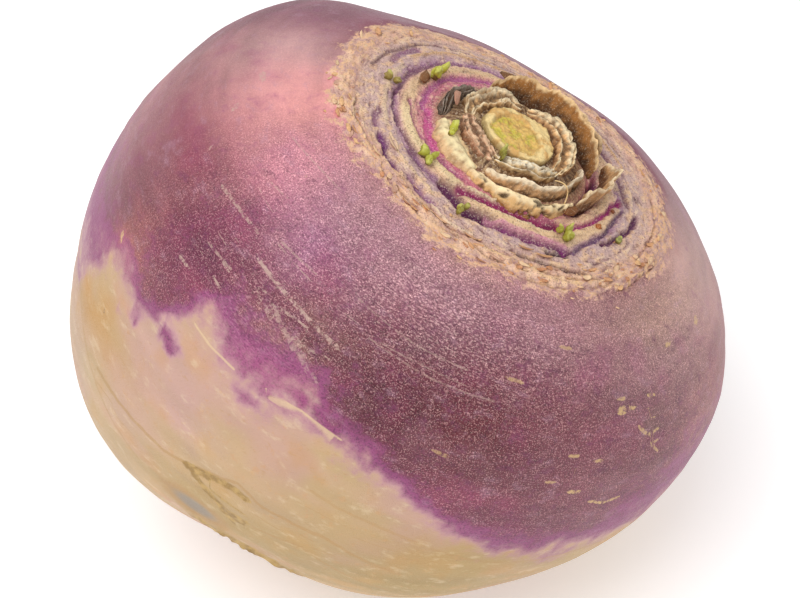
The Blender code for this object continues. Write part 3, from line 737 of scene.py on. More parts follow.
frayed = place + 1.3 * ripple(grown, 4.0 * MM, 3, 15.0)
clumps = 0.25 + 0.75 * smooth_step(-0.35, 0.15, ripple(grown, 3.4 * MM, 3, 25.0))
grain = smooth_step(-175, -150, around) * (1.0 - smooth_step(-35, -8, around))
grain *= 0.75 + 0.25 * soft_spot(SUGARY, down, around)
brushed = np.maximum(soft_spot(BRUSHED, down, around), 0.5 * soft_spot(LESS_BRUSHED, down, around))
turn = np.radians(around)
sheet = rows(np.radians(down), np.cos(turn) / STREAKS_ROUND, np.sin(turn) / STREAKS_ROUND)
root_paint = {
    "purple": purple,
    "cream": cream,
    "pigment": pigment,
    "crown_tint": crown_tint,
    "crown_share": 1.0 - smooth_step(21.5, 27.5, frayed),
    "cork": clumps * smooth_step(20.8, 22.4, frayed) * (1.0 - smooth_step(24.0, 27.5, frayed)),
    "grain": 0.15 + 0.85 * grain,
    "brushed": 0.08 + brushed,
    "rim": np.clip(ragged_rim, 0, 1),
    "bruise": bruise,
    "bark": bark,
    "ridge": ridge,
    "silver": mark_field(SILVER_MARKS, down, around),
    "yellow": mark_field(YELLOW_MARKS, down, around),
    "growth": mark_field(GROWTH_MARKS, down, around),
    "sheet": sheet * SKIN_REACH / MM,
    "crown_sheet": rows(across / MM, FLAKES_ROUND * np.cos(turn), FLAKES_ROUND * np.sin(turn)),
}
for paint_name, values in root_paint.items():
    paint(root_mesh, paint_name, values)


class Look:
    """A material being put together: short ways to add and join its nodes."""

    def __init__(self, name):
        self.material, self.tree, self.shader = nodes_of(name)
        self.place = self.tree.nodes.new("ShaderNodeTexCoord").outputs["Object"]

    def put(self, value, socket):
        """Sets or links a socket."""
        if isinstance(value, bpy.types.NodeSocket):
            self.tree.links.new(value, socket)
        elif isinstance(value, str):
            socket.default_value = (*linear(value), 1.0)
        else:
            socket.default_value = value

    def painted(self, name, output="Fac"):
        """A value, or with output Vector three values, stored in the mesh."""
        node = self.tree.nodes.new("ShaderNodeAttribute")
        node.attribute_name = name
        return node.outputs[output]

    def speckle(self, size, detail=2.0, rough=0.5, where=None):
        """Noise from 0 to 1 with features of a size, in metres, or in the units of where."""
        node = self.tree.nodes.new("ShaderNodeTexNoise")
        self.put(where or self.place, node.inputs["Vector"])
        node.inputs["Scale"].default_value = 1.0 / size
        node.inputs["Detail"].default_value = detail
        node.inputs["Roughness"].default_value = rough
        return node.outputs["Fac"]

    def math(self, what, one, other=0.0):
        """Two values put through one operation."""
        node = self.tree.nodes.new("ShaderNodeMath")
        node.operation = what
        self.put(one, node.inputs[0])
        self.put(other, node.inputs[1])
        return node.outputs[0]

    def plus(self, one, other):
        """Two values added up."""
        return self.math("ADD", one, other)

    def times(self, one, other):
        """One value times the other."""
        return self.math("MULTIPLY", one, other)

    def around_zero(self, value, amount):
        """Noise moved to swing about zero, by an amount."""
        return self.times(self.math("SUBTRACT", value, 0.5), amount)

    def ramp(self, value, low, high, out_low=0.0, out_high=1.0):
        """A smooth rise from out_low to out_high as value goes from low to high."""
        node = self.tree.nodes.new("ShaderNodeMapRange")
        node.interpolation_type = "SMOOTHSTEP"
        self.put(value, node.inputs["Value"])
        node.inputs["From Min"].default_value = low
        node.inputs["From Max"].default_value = high
        node.inputs["To Min"].default_value = out_low
        node.inputs["To Max"].default_value = out_high
        return node.outputs["Result"]

    def blend(self, share, one, other):
        """Two colours mixed."""
        node = self.tree.nodes.new("ShaderNodeMix")
        node.data_type = "RGBA"
        self.put(share, node.inputs[0])
        self.put(one, node.inputs[6])
        self.put(other, node.inputs[7])
        return node.outputs[2]

    def stain(self, colour, value, start, end, most, other):
        """A colour that turns into another, at most so far, as value goes from start to end."""
        return self.blend(self.ramp(value, start, end, 0.0, most), colour, other)

    def lit(self, colour, factor):
        """A colour made so many times as bright."""
        node = self.tree.nodes.new("ShaderNodeVectorMath")
        node.operation = "SCALE"
        self.put(colour, node.inputs[0])
        node.inputs["Scale"].default_value = factor
        return node.outputs[0]

    def marked(self, name, wobble, softness=0.5):
        """How much of the painted marks of a name there is here, from 0 to 1."""
        split = self.tree.nodes.new("ShaderNodeSeparateXYZ")
        self.tree.links.new(self.painted(name, "Vector"), split.inputs[0])
        aside = self.math("ABSOLUTE", self.plus(split.outputs[0], wobble))
        past = self.plus(aside, split.outputs[1])
        return self.times(self.ramp(past, 1.0, 1.0 - softness), split.outputs[2])

    def bump(self, height, distance, strength=1.0):
        """Fine relief in the shading, of a height in metres."""
        node = self.tree.nodes.new("ShaderNodeBump")
        node.inputs["Strength"].default_value = strength
        node.inputs["Distance"].default_value = distance
        self.put(height, node.inputs["Height"])
        self.tree.links.new(node.outputs["Normal"], self.shader.inputs["Normal"])


def root_look():
    """The root's skin: sugary purple over cream, with painted glints and painted pit shade in its grain,
    and a corky, ringed crown.
    """
    look = Look("root_skin")
    sheet = look.painted("sheet", "Vector")
    fine = look.speckle(0.24 * MM, 2.0, 0.6)
    fleck = look.speckle(0.18 * MM, 1.0, 0.5)
    pit = look.speckle(0.25 * MM, 2.0, 0.6)
    blotch = look.speckle(1.6 * MM, 4.0, 0.65)
    streak = look.speckle(1.4, 5.0, 0.65, where=sheet)
    line = look.speckle(0.5, 4.0, 0.6, where=sheet)
    brushed = look.tree.nodes.new("ShaderNodeMapping")
    look.tree.links.new(sheet, brushed.inputs["Vector"])
    brushed.inputs["Scale"].default_value = (1.0, 0.7, 0.7)
    hair = look.speckle(0.19, 1.0, 0.5, where=brushed.outputs["Vector"])
    grain = look.painted("grain")
    cork = look.painted("cork")

    edge = look.plus(look.painted("pigment"), look.around_zero(blotch, 0.55))
    edge = look.plus(edge, look.around_zero(streak, 0.35))
    purple_share = look.ramp(edge, 0.22, 0.72)
    wash = look.ramp(edge, 0.05, 0.45)

    purple = look.painted("purple", "Vector")
    purple = look.stain(purple, edge, 1.0, 0.7, 0.6, "a4558a")
    purple = look.stain(purple, streak, 0.52, 0.72, 0.30, "b58aa0")
    dark_streak = look.times(look.ramp(streak, 0.48, 0.30, 0.0, 0.50), grain)
    purple = look.blend(dark_streak, purple, "5a2440")
    # Dark pits: a copy of the purple at half brightness, painted shade in tiny pits.
    pitted = look.times(look.ramp(pit, 0.50, 0.36, 0.0, 0.90), grain)
    purple = look.blend(pitted, purple, look.lit(purple, 0.5))
    # Silvery specks: a brighter copy of the purple, partly the skin's own pale grain and partly painted
    # glints.
    silver = look.times(look.ramp(fleck, 0.54, 0.64), grain)
    silver = look.times(silver, look.ramp(edge, 0.75, 1.0))
    silver = look.times(silver, look.ramp(blotch, 0.30, 0.62, 0.4, 1.0))
    speck_glint = look.blend(0.30, look.lit(purple, 2.3), "ecd0c4")
    purple = look.blend(look.times(silver, 0.90), purple, speck_glint)
    # Fine pale scratches over the brushed patches, drawn as a brighter copy of the purple: partly real
    # scratches and partly painted sheen.
    scratched = look.times(look.ramp(hair, 0.54, 0.63), look.painted("brushed"))
    scratch_sheen = look.blend(0.35, look.lit(purple, 2.0), "ecd0c4")
    purple = look.blend(look.times(scratched, 0.60), purple, scratch_sheen)
    dark_line = look.times(look.ramp(hair, 0.47, 0.37), look.painted("brushed"))
    purple = look.blend(look.times(dark_line, 0.35), purple, "5a2c3c")

    cream = look.painted("cream", "Vector")
    cream = look.stain(cream, line, 0.58, 0.74, 0.35, "b98d55")
    cream = look.stain(cream, streak, 0.46, 0.30, 0.40, "e0cba8")
    cream = look.stain(cream, blotch, 0.56, 0.76, 0.50, "cb9a60")
    cream = look.blend(look.times(wash, 0.55), cream, "c08aa2")
    skin = look.blend(purple_share, cream, purple)

    growth = look.marked("growth", look.around_zero(look.speckle(2.0 * MM), 2.0))
    skin = look.blend(growth, skin, "b58d58")
    ragged = look.around_zero(look.speckle(0.6 * MM, 3.0, 0.7), 1.6)
    gappy = look.ramp(look.speckle(0.7 * MM, 3.0, 0.7), 0.36, 0.56)
    for name, colour in (("silver", "c9aa9c"), ("yellow", "dcb980")):
        skin = look.blend(look.times(look.marked(name, ragged), gappy), skin, colour)
    ridge_mark = look.marked("ridge", look.around_zero(blotch, 0.6), 0.8)
    skin = look.blend(ridge_mark, skin, "dcbf98")
    bruise = look.painted("bruise")
    skin = look.stain(skin, bruise, 0.1, 0.5, 0.65, "b0854f")
    skin = look.stain(skin, bruise, 0.45, 0.9, 0.8, "8c857c")
    rim = look.ramp(look.plus(look.painted("rim"), look.around_zero(blotch, 0.5)), 0.30, 0.55)
    bark = look.math("MAXIMUM", look.marked("bark", look.around_zero(blotch, 1.2)), rim)
    skin = look.blend(bark, skin, look.stain("94723a", blotch, 0.36, 0.60, 1.0, "bf9c5c"))

    flake = look.speckle(0.75, 5.0, 0.75, where=look.painted("crown_sheet", "Vector"))
    tissue = look.painted("crown_tint", "Vector")
    tissue = look.stain(tissue, fine, 0.55, 0.68, 0.50, "f2dec6")
    tissue = look.stain(tissue, fine, 0.45, 0.33, 0.60, "5c3844")
    corky = look.stain("cba2a0", flake, 0.44, 0.58, 1.0, "f2bf90")
    corky = look.stain(corky, flake, 0.58, 0.70, 1.0, "fae0bc")
    # Darkest between the flakes, where the bump is lowest: painted shade.
    corky = look.stain(corky, flake, 0.44, 0.35, 0.80, "84483a")
    tissue = look.blend(look.times(cork, 0.75), tissue, corky)
    crown_share = look.painted("crown_share")
    fade = look.plus(crown_share, look.around_zero(flake, 1.6))
    fade = look.plus(fade, look.around_zero(blotch, 0.8))
    skin = look.stain(skin, fade, 0.30, 0.60, 1.0, tissue)
    look.put(skin, look.shader.inputs["Base Color"])

    look.put(look.ramp(look.plus(fine, cork), 0.3, 1.2, 0.42, 0.85), look.shader.inputs["Roughness"])
    relief = look.times(fleck, look.plus(grain, 0.2))
    relief = look.plus(relief, look.times(flake, look.plus(look.times(cork, 3.0), 0.2)))
    relief = look.plus(relief, look.times(line, 0.5))
    relief = look.plus(relief, look.times(fine, crown_share))
    look.bump(relief, SKIN_GRAIN)
    look.shader.inputs["Specular IOR Level"].default_value = SKIN_GLOSS
    return look.material


add_piece("root_skin", root_mesh, root_look(), "root_skin", "turnip_root")

# ---------------------------------------------------------------------------------------------
# The cut stem: the stump of the leafy stem, cut across low down.  Its moist middle is yellow
# and green and has shrunk below a paler, drier rim.  It grows out of the middle of the crown.
# ---------------------------------------------------------------------------------------------
STEM_RADIUS = 5.2 * MM
STEM_HEIGHT = 2.6 * MM
HEART_RADIUS = 3.5 * MM
HEART_ASIDE = 0.5 * MM
STEM_SHRUNK = 0.5 * MM
STEM_SEGMENTS = 160
STEM_SUNK = 1.6 * MM
GROOVE_WIDTH = 0.22 * MM
SIDE_STEPS = 8
FACE_STEPS = 44


def stem_outline():
    """The stump's outline: foot, side, rounded rim, and the cut face in close rings."""
    outline = [(0.0, 0.0), (STEM_RADIUS * 0.6, 0.0), (STEM_RADIUS * 1.02, 0.0)]
    for step in range(1, SIDE_STEPS):
        share = step / SIDE_STEPS
        outline.append((STEM_RADIUS * (1.0 + 0.02 * (1.0 - share)), STEM_HEIGHT * share))
    outline += [(STEM_RADIUS * (1.0 - step / FACE_STEPS), STEM_HEIGHT) for step in range(1, FACE_STEPS + 1)]
    return outline


stem_mesh = turned("stem_stump", stem_outline(), STEM_SEGMENTS)
stem = corners_of(stem_mesh)
azimuth = np.arctan2(stem[:, 1], stem[:, 0])
out = np.hypot(stem[:, 0], stem[:, 1])
up = stem[:, 2] / STEM_HEIGHT
lumps = ripple(stem, 1.5 * MM, 4, 2.0)
crumbs = ripple(stem, 0.45 * MM, 3, 5.0)
uneven = 1.0 + 0.03 * np.cos(2 * azimuth + 0.6) + 0.045 * ripple(stem, 3.0 * MM, 4)
heart_out = np.hypot(stem[:, 0] + HEART_ASIDE, stem[:, 1] + HEART_ASIDE) * (1.0 + 0.16 * lumps)
groove = np.exp(-((heart_out - HEART_RADIUS) / GROOVE_WIDTH) ** 2) * smooth_step(-0.3, 0.3, lumps)
inside = 1.0 - smooth_step(-0.35 * MM, 0.25 * MM, heart_out - HEART_RADIUS)
stem_x = CROWN_X + stem[:, 0] * uneven
stem_y = CROWN_Y + stem[:, 1] * uneven
foot = bulb_height(stem_x, stem_y) - STEM_SUNK
top = bulb_height(np.array([CROWN_X]), np.array([CROWN_Y]))[0] + STEM_HEIGHT - STEM_SHRUNK
edge_drop = smooth_step(0.80, 1.0, out / STEM_RADIUS)
cut = 0.28 * lumps + 0.14 * crumbs - 0.25 * inside - 0.35 * groove - 0.7 * edge_drop * (0.6 + 1.2 * lumps)
stem_z = foot + (top + cut * MM - foot) * up
set_corners(stem_mesh, lean(rows(stem_x, stem_y, stem_z)))
heart_tint = layered(
    linear("e6bd68"),
    ("d2c04a", smooth_step(0.0, 0.5, ripple(stem, 1.6 * MM, 3, 12.0))),
    ("c89450", 0.7 * smooth_step(0.0, 0.5, ripple(stem, 0.9 * MM, 3, 31.0))),
)
rim_tint = layered(linear("fadc9a"), ("e2b068", smooth_step(-0.1, 0.4, ripple(stem, 2.0 * MM, 3, 44.0))))
browned = np.clip(0.5 * groove + 0.7 * smooth_step(0.93, 1.0, out / STEM_RADIUS), 0, 1)
stem_tint = layered(mix(rim_tint, heart_tint, inside), ("7d5f2c", browned))
stem_tint = mix(linear("6f5030"), stem_tint, smooth_step(0.55, 0.95, up))
paint(stem_mesh, "tint", stem_tint * (1.0 + 0.22 * crumbs)[:, None])


def plant_look(name, grit, pale, dark, roughness, depth):
    """Cut or dried plant tissue: the painted tint, broken up by pale fibres and dark pores."""
    look = Look(name)
    fine = look.speckle(0.22 * MM, 3.0, 0.65)
    coarse = look.speckle(0.8 * MM, 4.0, 0.65)
    tint = look.painted("tint", "Vector")
    tint = look.stain(tint, fine, 0.52, 0.70, grit, pale)
    tint = look.stain(tint, coarse, 0.44, 0.30, grit, dark)
    look.put(tint, look.shader.inputs["Base Color"])
    look.put(look.ramp(fine, 0.3, 0.7, roughness - 0.1, roughness + 0.1), look.shader.inputs["Roughness"])
    look.bump(look.plus(fine, coarse), depth)
    return look.material


add_piece("stem_stump", stem_mesh, plant_look("cut_tissue", 0.4, "e9dca4", "8a6a30", 0.5, 0.15 * MM),
          "cut_stem", "cut_stem")

# ---------------------------------------------------------------------------------------------
# The dried leaf bases: stubs of leaf stalks that clasp the stem in rings.  They have shrivelled
# to spongy, papery walls with ragged tops, and each is joined to the crown along its foot.
# ---------------------------------------------------------------------------------------------
LEAF_FLARE = 0.12
FIT_GAP = 0.3 * MM
INNER_BASE_WALL = 2.3 * MM
RING_SPACE = 0.8 * MM
INNER = STEM_RADIUS + 2 * FIT_GAP
RING = INNER + INNER_BASE_WALL + RING_SPACE
COLUMN_STEP = 0.14 * MM
SIDE_POINTS = 9
TOP_POINTS = 20
ROOTED = 0.5 * MM
CLASPED = INNER - FIT_GAP
# A wall at least so wavy thins to paper at its top
PAPERY = 0.8

# Each leaf base: where it starts and ends round the stem, its inner wall's radius at both ends,
# its wall, its height, how ragged and how wavy its top is, how spongy it is, how many layers it
# is made of, and its colours at the foot, on the faces and along the top.  The dark colour at the
# foot is painted shade, low in the gaps between the walls.
LeafBase = namedtuple("LeafBase", "start end start_radius end_radius wall height ragged wavy spongy layers "
                                  "foot face top")
LEAF_BASES = {
    "inner_right": LeafBase(-35, 75, CLASPED, INNER - 0.2 * MM, 3.0 * MM, 3.0 * MM, 0.5, 0.5, 0.5, 1.3,
        "80502a", "eeba80", "ffe8bc"),
    "inner_back": LeafBase(82, 172, CLASPED, CLASPED, 3.2 * MM, 2.6 * MM, 0.7, 0.5, 0.5, 1.5,
        "7e562c", "e6ba84", "ffe8c0"),
    "inner_left": LeafBase(174, 240, CLASPED, CLASPED, 3.2 * MM, 2.1 * MM, 0.6, 0.5, 0.6, 1.6,
        "855436", "d69f7c", "f2caa4"),
    "inner_front": LeafBase(-122, -34, CLASPED, CLASPED, 2.6 * MM, 2.6 * MM, 0.5, 0.5, 0.7, 1.3,
        "80562c", "ecc68c", "fff2d6"),
    "front": LeafBase(-118, -4, RING, RING + 0.1 * MM, 1.4 * MM, 2.5 * MM, 0.6, 0.8, 0.4, 1.0,
        "50331a", "d4a674", "ffeccb"),
    "left": LeafBase(185, 236, RING - 0.3 * MM, RING, 3.6 * MM, 1.0 * MM, 0.3, 0.2, 0.2, 1.0,
        "c08a68", "e8c290", "f6e2b0"),
    "withered": LeafBase(126, 178, RING - 0.3 * MM, RING + 0.4 * MM, 2.2 * MM, 1.7 * MM, 0.8, 0.8, 0.6, 1.4,
        "443a30", "74655a", "a8988a"),
    "tall": LeafBase(2, 114, RING + 2.6 * MM, RING + 0.1 * MM, 1.0 * MM, 4.0 * MM, 0.9, 1.0, 0.15, 0.8,
        "4c2a0c", "aa7236", "f2cc96"),
    "spongy": LeafBase(-126, -42, RING + 1.3 * MM, RING + 1.7 * MM, 2.1 * MM, 1.1 * MM, 0.6, 0.4, 1.4, 1.0,
        "a87038", "ecbf80", "fae0b0"),
    "frilled": LeafBase(-39, 10, RING + 2.6 * MM, RING + 5.2 * MM, 0.9 * MM, 3.6 * MM, 1.0, 2.6, 0.2, 0.8,
        "683a1a", "cc9c68", "ffe6bc"),
    "outer": LeafBase(21, 68, RING + 5.0 * MM, RING + 4.0 * MM, 0.7 * MM, 2.8 * MM, 0.8, 0.9, 0.1, 0.8,
        "6a3f1c", "c0905a", "f0d2a4"),
}


def leaf_base_section():
    """The wall's cross-section in shares of its thickness and height, starting at its foot."""
    section = [(1.0, step / SIDE_POINTS) for step in range(SIDE_POINTS)]
    section += [(1.0 - step / TOP_POINTS, 1.0) for step in range(TOP_POINTS + 1)]
    section += [(0.0, 1.0 - step / SIDE_POINTS) for step in range(1, SIDE_POINTS + 1)]
    return section + [(0.35, 0.0), (0.7, 0.0)]


def leaf_base_mesh(name, base, shift):
    """A leaf base as a spun wall, then layered, ragged, waved, pitted and painted, with painted shade at
    its foot, between its layers and in its pores.
    """
    span = radians(base.end - base.start)
    columns = ceil(span * max(base.start_radius, base.end_radius) / COLUMN_STEP)
    bm = bmesh.new()
    ring = [bm.verts.new((1.0 + side, 0.0, up)) for side, up in leaf_base_section()]
    bmesh.ops.spin(bm, geom=[bm.faces.new(ring)], cent=(0, 0, 0), axis=(0, 0, 1), angle=span, steps=columns)
    bmesh.ops.recalc_face_normals(bm, faces=bm.faces[:])
    mesh = mesh_from(bm, name)
    rough = corners_of(mesh)
    side = np.hypot(rough[:, 0], rough[:, 1]) - 1.0
    share = np.arctan2(rough[:, 1], rough[:, 0]) / span
    up = rough[:, 2]
    length = span * (base.start_radius + base.end_radius) / 2
    along = rows(share * length, 0.0, shift * MM)
    over = rows(share * length, side * base.wall, shift * MM)
    fade = np.clip(np.sin(pi * np.clip(share, 0, 1)), 0, 1) ** 0.45

    wander = 0.40 * ripple(along, 3.4 * MM, 2, 31.0) + 0.08 * ripple(over, 0.9 * MM, 2, 37.0)
    layer = 1.0 - np.abs(np.sin(pi * (base.layers * (side + wander) + 0.23 * shift))) ** 0.6
    layer = np.maximum(layer, np.abs(2 * side - 1) ** 5)
    layer = layer if base.layers > 1.0 else 1.0 - np.abs(2 * side - 1) ** 2
    skyline = base.ragged * (0.9 * ripple(along, 2.2 * MM, 3) + 0.2 * ripple(over, 0.5 * MM, 2, 4.0))
    top_rise = base.height * (0.35 + 0.65 * fade) * (1.0 + 0.30 * skyline)
    sunken = (1.0 - layer) + 0.30 * np.abs(2 * side - 1) ** 4
    top_rise = top_rise - sunken * min(base.layers, 1.0) * MM

    wall = base.wall * (0.45 + 0.55 * fade) * (1.0 + 0.35 * ripple(along, 1.4 * MM, 2, 9.0))
    wall *= 1.08 - (0.60 if base.wavy >= PAPERY else 0.30) * up
    inner = base.start_radius + (base.end_radius - base.start_radius) * share
    wave = 0.6 * ripple(along, 2.6 * MM, 2, 13.0) + 0.12 * ripple(along, 0.6 * MM, 2, 17.0)
    radius = inner + base.wall / 2 + (side - 0.5) * wall + base.wavy * up ** 1.5 * wave * MM
    azimuth = radians(base.start) + share * span
    x, y = around_stem(azimuth, radius)
    foot = crown_surface(x, y)[0] - ROOTED
    top = np.maximum(bulb_height(x, y) + top_rise, foot + 0.7 * MM)
    z = foot + (top - foot) * up
    x, y = around_stem(azimuth, radius + LEAF_FLARE * up * (top - foot))
    points = rows(x, y, z)

    outward = rows(np.cos(azimuth) * (side - 0.5), np.sin(azimuth) * (side - 0.5), up - 0.5)
    outward /= np.linalg.norm(outward, axis=1)[:, None] + 1e-9
    lumps = ripple(points, 0.8 * MM, 3, shift)
    upright = rows(share * length / (0.5 * MM), up * 1.2 + side, shift)
    strands = ripple(upright, 1.0, 3)
    hole = (1.1 if base.spongy > 1.0 else 0.6) * MM
    pores = np.clip(-ripple(points, hole, 2, shift + 40.0) - 0.12, 0, 1)
    visible = smooth_step(0.1, 0.4, up)
    points += outward * (visible * (0.06 * lumps - 0.8 * base.spongy * pores) * MM)[:, None]
    set_corners(mesh, lean(points))

    crest = smooth_step(0.86, 1.0, up + 0.10 * lumps) * smooth_step(0.15, 0.7, layer + 0.3 * strands)
    # Where the layers part at the top: filled with dark brown as painted shade in the gaps.
    between = (up > 0.98) * (base.layers > 1.0) * (1.0 - smooth_step(0.10, 0.5, layer + 0.5 * lumps))
    tint = layered(
        # Dark at the foot, which is painted shade, and lighter up the faces.
        linear(base.foot),
        (base.face, smooth_step(0.35, 0.95, up + 0.3 * lumps)),
        ("6e4626", 0.45 * smooth_step(0.0, 0.5, strands) * smooth_step(0.1, 0.3, up)),
        (base.top, crest),
        ("5e3c1c", 0.75 * between),
        ("7a5230", 0.40 * smooth_step(0.12, 0.55, ripple(points, 2.2 * MM, 3, shift + 60.0))),
        # Painted shade in the sunken pores.
        ("4a2f1a", np.clip(pores * base.spongy * 2.2, 0, 0.85)),
    )
    paint(mesh, "tint", tint * (1.0 + 0.22 * lumps)[:, None])
    return mesh


dried_look = plant_look("dried_tissue", 0.30, "fff0d2", "74451e", 0.75, 0.12 * MM)
for number, (base_name, base) in enumerate(LEAF_BASES.items()):
    wall_mesh = leaf_base_mesh("dried_" + base_name, base, 3.7 * number)
    add_piece("dried_" + base_name, wall_mesh, dried_look, "dried_leaf_base", "leaf_base_" + base_name)

# ---------------------------------------------------------------------------------------------
# The buds: small green shoots that wait in the old leaves' axils.  Each is one to three fat, soft
# scales that have grown into each other, and stands straight out of the crown.
# ---------------------------------------------------------------------------------------------
BUD_SUNK = 0.3 * MM
BUD_SLIM = 0.88
BUD_SEGMENTS = 28
BUD_RINGS = 18
LOBES_APART = 0.42
LOBE_LEAN = 0.38

# Each bud: degrees round the stem, distance, half width, height, lobes, colour, and how high
# over the bulb's outline it starts
Bud = namedtuple("Bud", "around distance radius height lobes colour lift")
BUDS = (
    Bud(-157, RING + 1.8 * MM, 1.1 * MM, 1.7 * MM, 2, "bfc03c", 0.9 * MM),
    Bud(-143, RING + 6.9 * MM, 1.2 * MM, 1.8 * MM, 3, "adad38", None),
    Bud(-114, RING + 9.9 * MM, 0.9 * MM, 1.6 * MM, 2, "968c34", None),
    Bud(-61, RING + 6.8 * MM, 1.1 * MM, 1.9 * MM, 3, "a09c30", None),
    Bud(-31, RING + 10.2 * MM, 0.8 * MM, 1.0 * MM, 1, "7d7c3c", None),
    Bud(-115, INNER + 1.15 * MM, 0.7 * MM, 2.4 * MM, 2, "8a8430", None),
    Bud(166, RING + 9.4 * MM, 0.95 * MM, 1.2 * MM, 2, "96803e", None),
    Bud(140, RING + 5.4 * MM, 1.3 * MM, 2.4 * MM, 2, "bfbc3e", None),
)


def bud_mesh(name, bud, shift):
    """A bud from a few leaning, pointed lobes that grow into each other."""
    bm = bmesh.new()
    for lobe in range(bud.lobes):
        ball = bmesh.ops.create_uvsphere(bm, u_segments=BUD_SEGMENTS, v_segments=BUD_RINGS, radius=1.0)
        made = ball["verts"]
        turn = 2 * pi * lobe / bud.lobes + shift
        apart, leaning = (LOBES_APART, LOBE_LEAN) if bud.lobes > 1 else (0.0, 0.0)
        size = 1.0 - 0.18 * lobe
        for vert in made:
            taper = 1.0 - 0.35 * max(vert.co.z, 0.0) ** 2
            vert.co.x *= 0.72 * size * taper
            vert.co.y *= 0.58 * size * taper
            vert.co.z *= size
        bmesh.ops.rotate(bm, verts=made, cent=(0, 0, -1), matrix=Matrix.Rotation(leaning, 3, "Y"))
        bmesh.ops.rotate(bm, verts=made, cent=(0, 0, 0), matrix=Matrix.Rotation(turn, 3, "Z"))
        bmesh.ops.translate(bm, verts=made, vec=(apart * cos(turn), apart * sin(turn), 0.0))
    mesh = mesh_from(bm, name)
    shape = corners_of(mesh)
    lumps = ripple(shape, 0.7, 4, shift)
    shape = shape * (1.0 + 0.34 * lumps)[:, None]
    middle_x, middle_y = around_stem(radians(bud.around), bud.distance)
    if bud.lift is None:
        floor = crown_surface(np.array([middle_x]), np.array([middle_y]))[0][0] + 0.3 * MM
    else:
        floor = bulb_height(np.array([middle_x]), np.array([middle_y]))[0] + bud.lift
    x = middle_x + shape[:, 0] * bud.radius * BUD_SLIM
    y = middle_y + shape[:, 1] * bud.radius * BUD_SLIM
    z = floor - BUD_SUNK + (shape[:, 2] + 1.0) / 2.0 * (bud.height + BUD_SUNK)
    set_corners(mesh, lean(rows(x, y, z)))
    paint(mesh, "tint", layered(
        linear("7d6a2a"),
        (bud.colour, smooth_step(-0.7, 0.0, shape[:, 2] + 0.6 * lumps)),
        ("d6d472", 0.6 * smooth_step(0.3, 1.0, shape[:, 2] + 0.9 * lumps)),
    ))
    return mesh


bud_look = plant_look("bud_tissue", 0.35, "e0dc92", "6d6420", 0.4, 0.08 * MM)
for number, bud in enumerate(BUDS, 1):
    add_piece(f"green_bud_{number}", bud_mesh(f"green_bud_{number}", bud, 1.3 * number), bud_look,
              "fresh_bud", f"bud_{number}")

# ---------------------------------------------------------------------------------------------
# Loose dry tissue on the crown: chips of cork that peel off the collar, a few larger withered
# scales among the scars and leaf bases, and a fine fibre.  All of it still hangs on where it grew.
# ---------------------------------------------------------------------------------------------
CHIP_COUNT = 170
CHIP_RING = 23.0
CHIP_SPREAD = 1.2
CHIP_THICK = 0.06
CHIP_LIFT = 0.05
CHIP_STAND = 55
CHIP_TWIST = 28.0
CHIP_COLOURS = ("e8b682", "dca272", "f0caa0", "d0a088", "c98a60", "eac098")
FIBRE_RADIUS = 0.09 * MM
FIBRE_SIDES = 8
FIBRE_STEPS = 24
# Where the fibre passes: degrees round the stem, distance from it and height over the outline in mm
FIBRE_PLACES = ((-56, 8.8, 2.2), (-53, 9.7, 2.7), (-51, 10.4, 2.5), (-50, 11.0, 1.8), (-51, 11.5, 0.6))
chance = Random(11)

# Larger scales: degrees round the stem, distance in mm, half length, half width and half
# thickness in mm, how far they stand up in degrees, how high they sit in mm, colour, and how far
# they are twisted from lying along the rings
Scale = namedtuple("Scale", "around distance long wide thick stand lift colour twist", defaults=(0.0,))
SCALES = (
    Scale(151, 15.0, 1.3, 0.8, 0.22, 40, 0.5, "8a5a34"),
    Scale(165, 9.7, 1.3, 0.75, 0.3, 55, 1.6, "c08c74"),
    Scale(88, 16.0, 1.7, 0.5, 0.18, 50, 0.7, "7a4e28"),
    Scale(-46, 12.3, 1.5, 0.8, 0.5, 20, 0.7, "7a4618"),
    Scale(-33, 15.9, 0.55, 0.45, 0.25, 10, 0.1, "b0642a"),
    Scale(-14, 16.4, 0.4, 0.3, 0.2, 10, 0.1, "8a4a28"),
    Scale(-90, 20.2, 0.9, 0.35, 0.15, 45, 0.3, "d2a07a"),
    Scale(-84, 19.2, 1.2, 0.3, 0.12, 50, 0.3, "c58e62"),
    Scale(-76, 19.6, 1.3, 0.35, 0.12, 45, 0.3, "d6a070"),
    Scale(-118, 21.9, 1.5, 0.3, 0.1, 50, 0.3, "e0b088"),
    Scale(-106, 21.4, 1.2, 0.3, 0.1, 50, 0.3, "d9a57c"),
    Scale(-153, 19.6, 1.4, 0.4, 0.12, 45, 0.3, "d8b494"),
)


def chip_scales():
    """The corky chips of the collar, scattered with a seed."""
    chips = []
    for _ in range(CHIP_COUNT):
        around = chance.uniform(-180, 180) if chance.random() < 0.3 else chance.uniform(-185, -15)
        off = chance.gauss(0.0, CHIP_SPREAD)
        distance = CHIP_RING + off + float(np.interp((around + 180) % 360 - 180, *zip(*COLLAR_DRIFT)))
        size = chance.uniform(0.4, 1.1) if abs(off) < 1.5 else chance.uniform(0.25, 0.5)
        colour = chance.choice(CHIP_COLOURS)
        long = chance.uniform(0.4, 1.2) * size
        wide = chance.uniform(0.25, 0.5) * size
        stand = chance.uniform(0, CHIP_STAND)
        twist = chance.gauss(0.0, CHIP_TWIST)
        chips.append(Scale(around, distance, long, wide, CHIP_THICK, stand, CHIP_LIFT, colour, twist))
    return chips


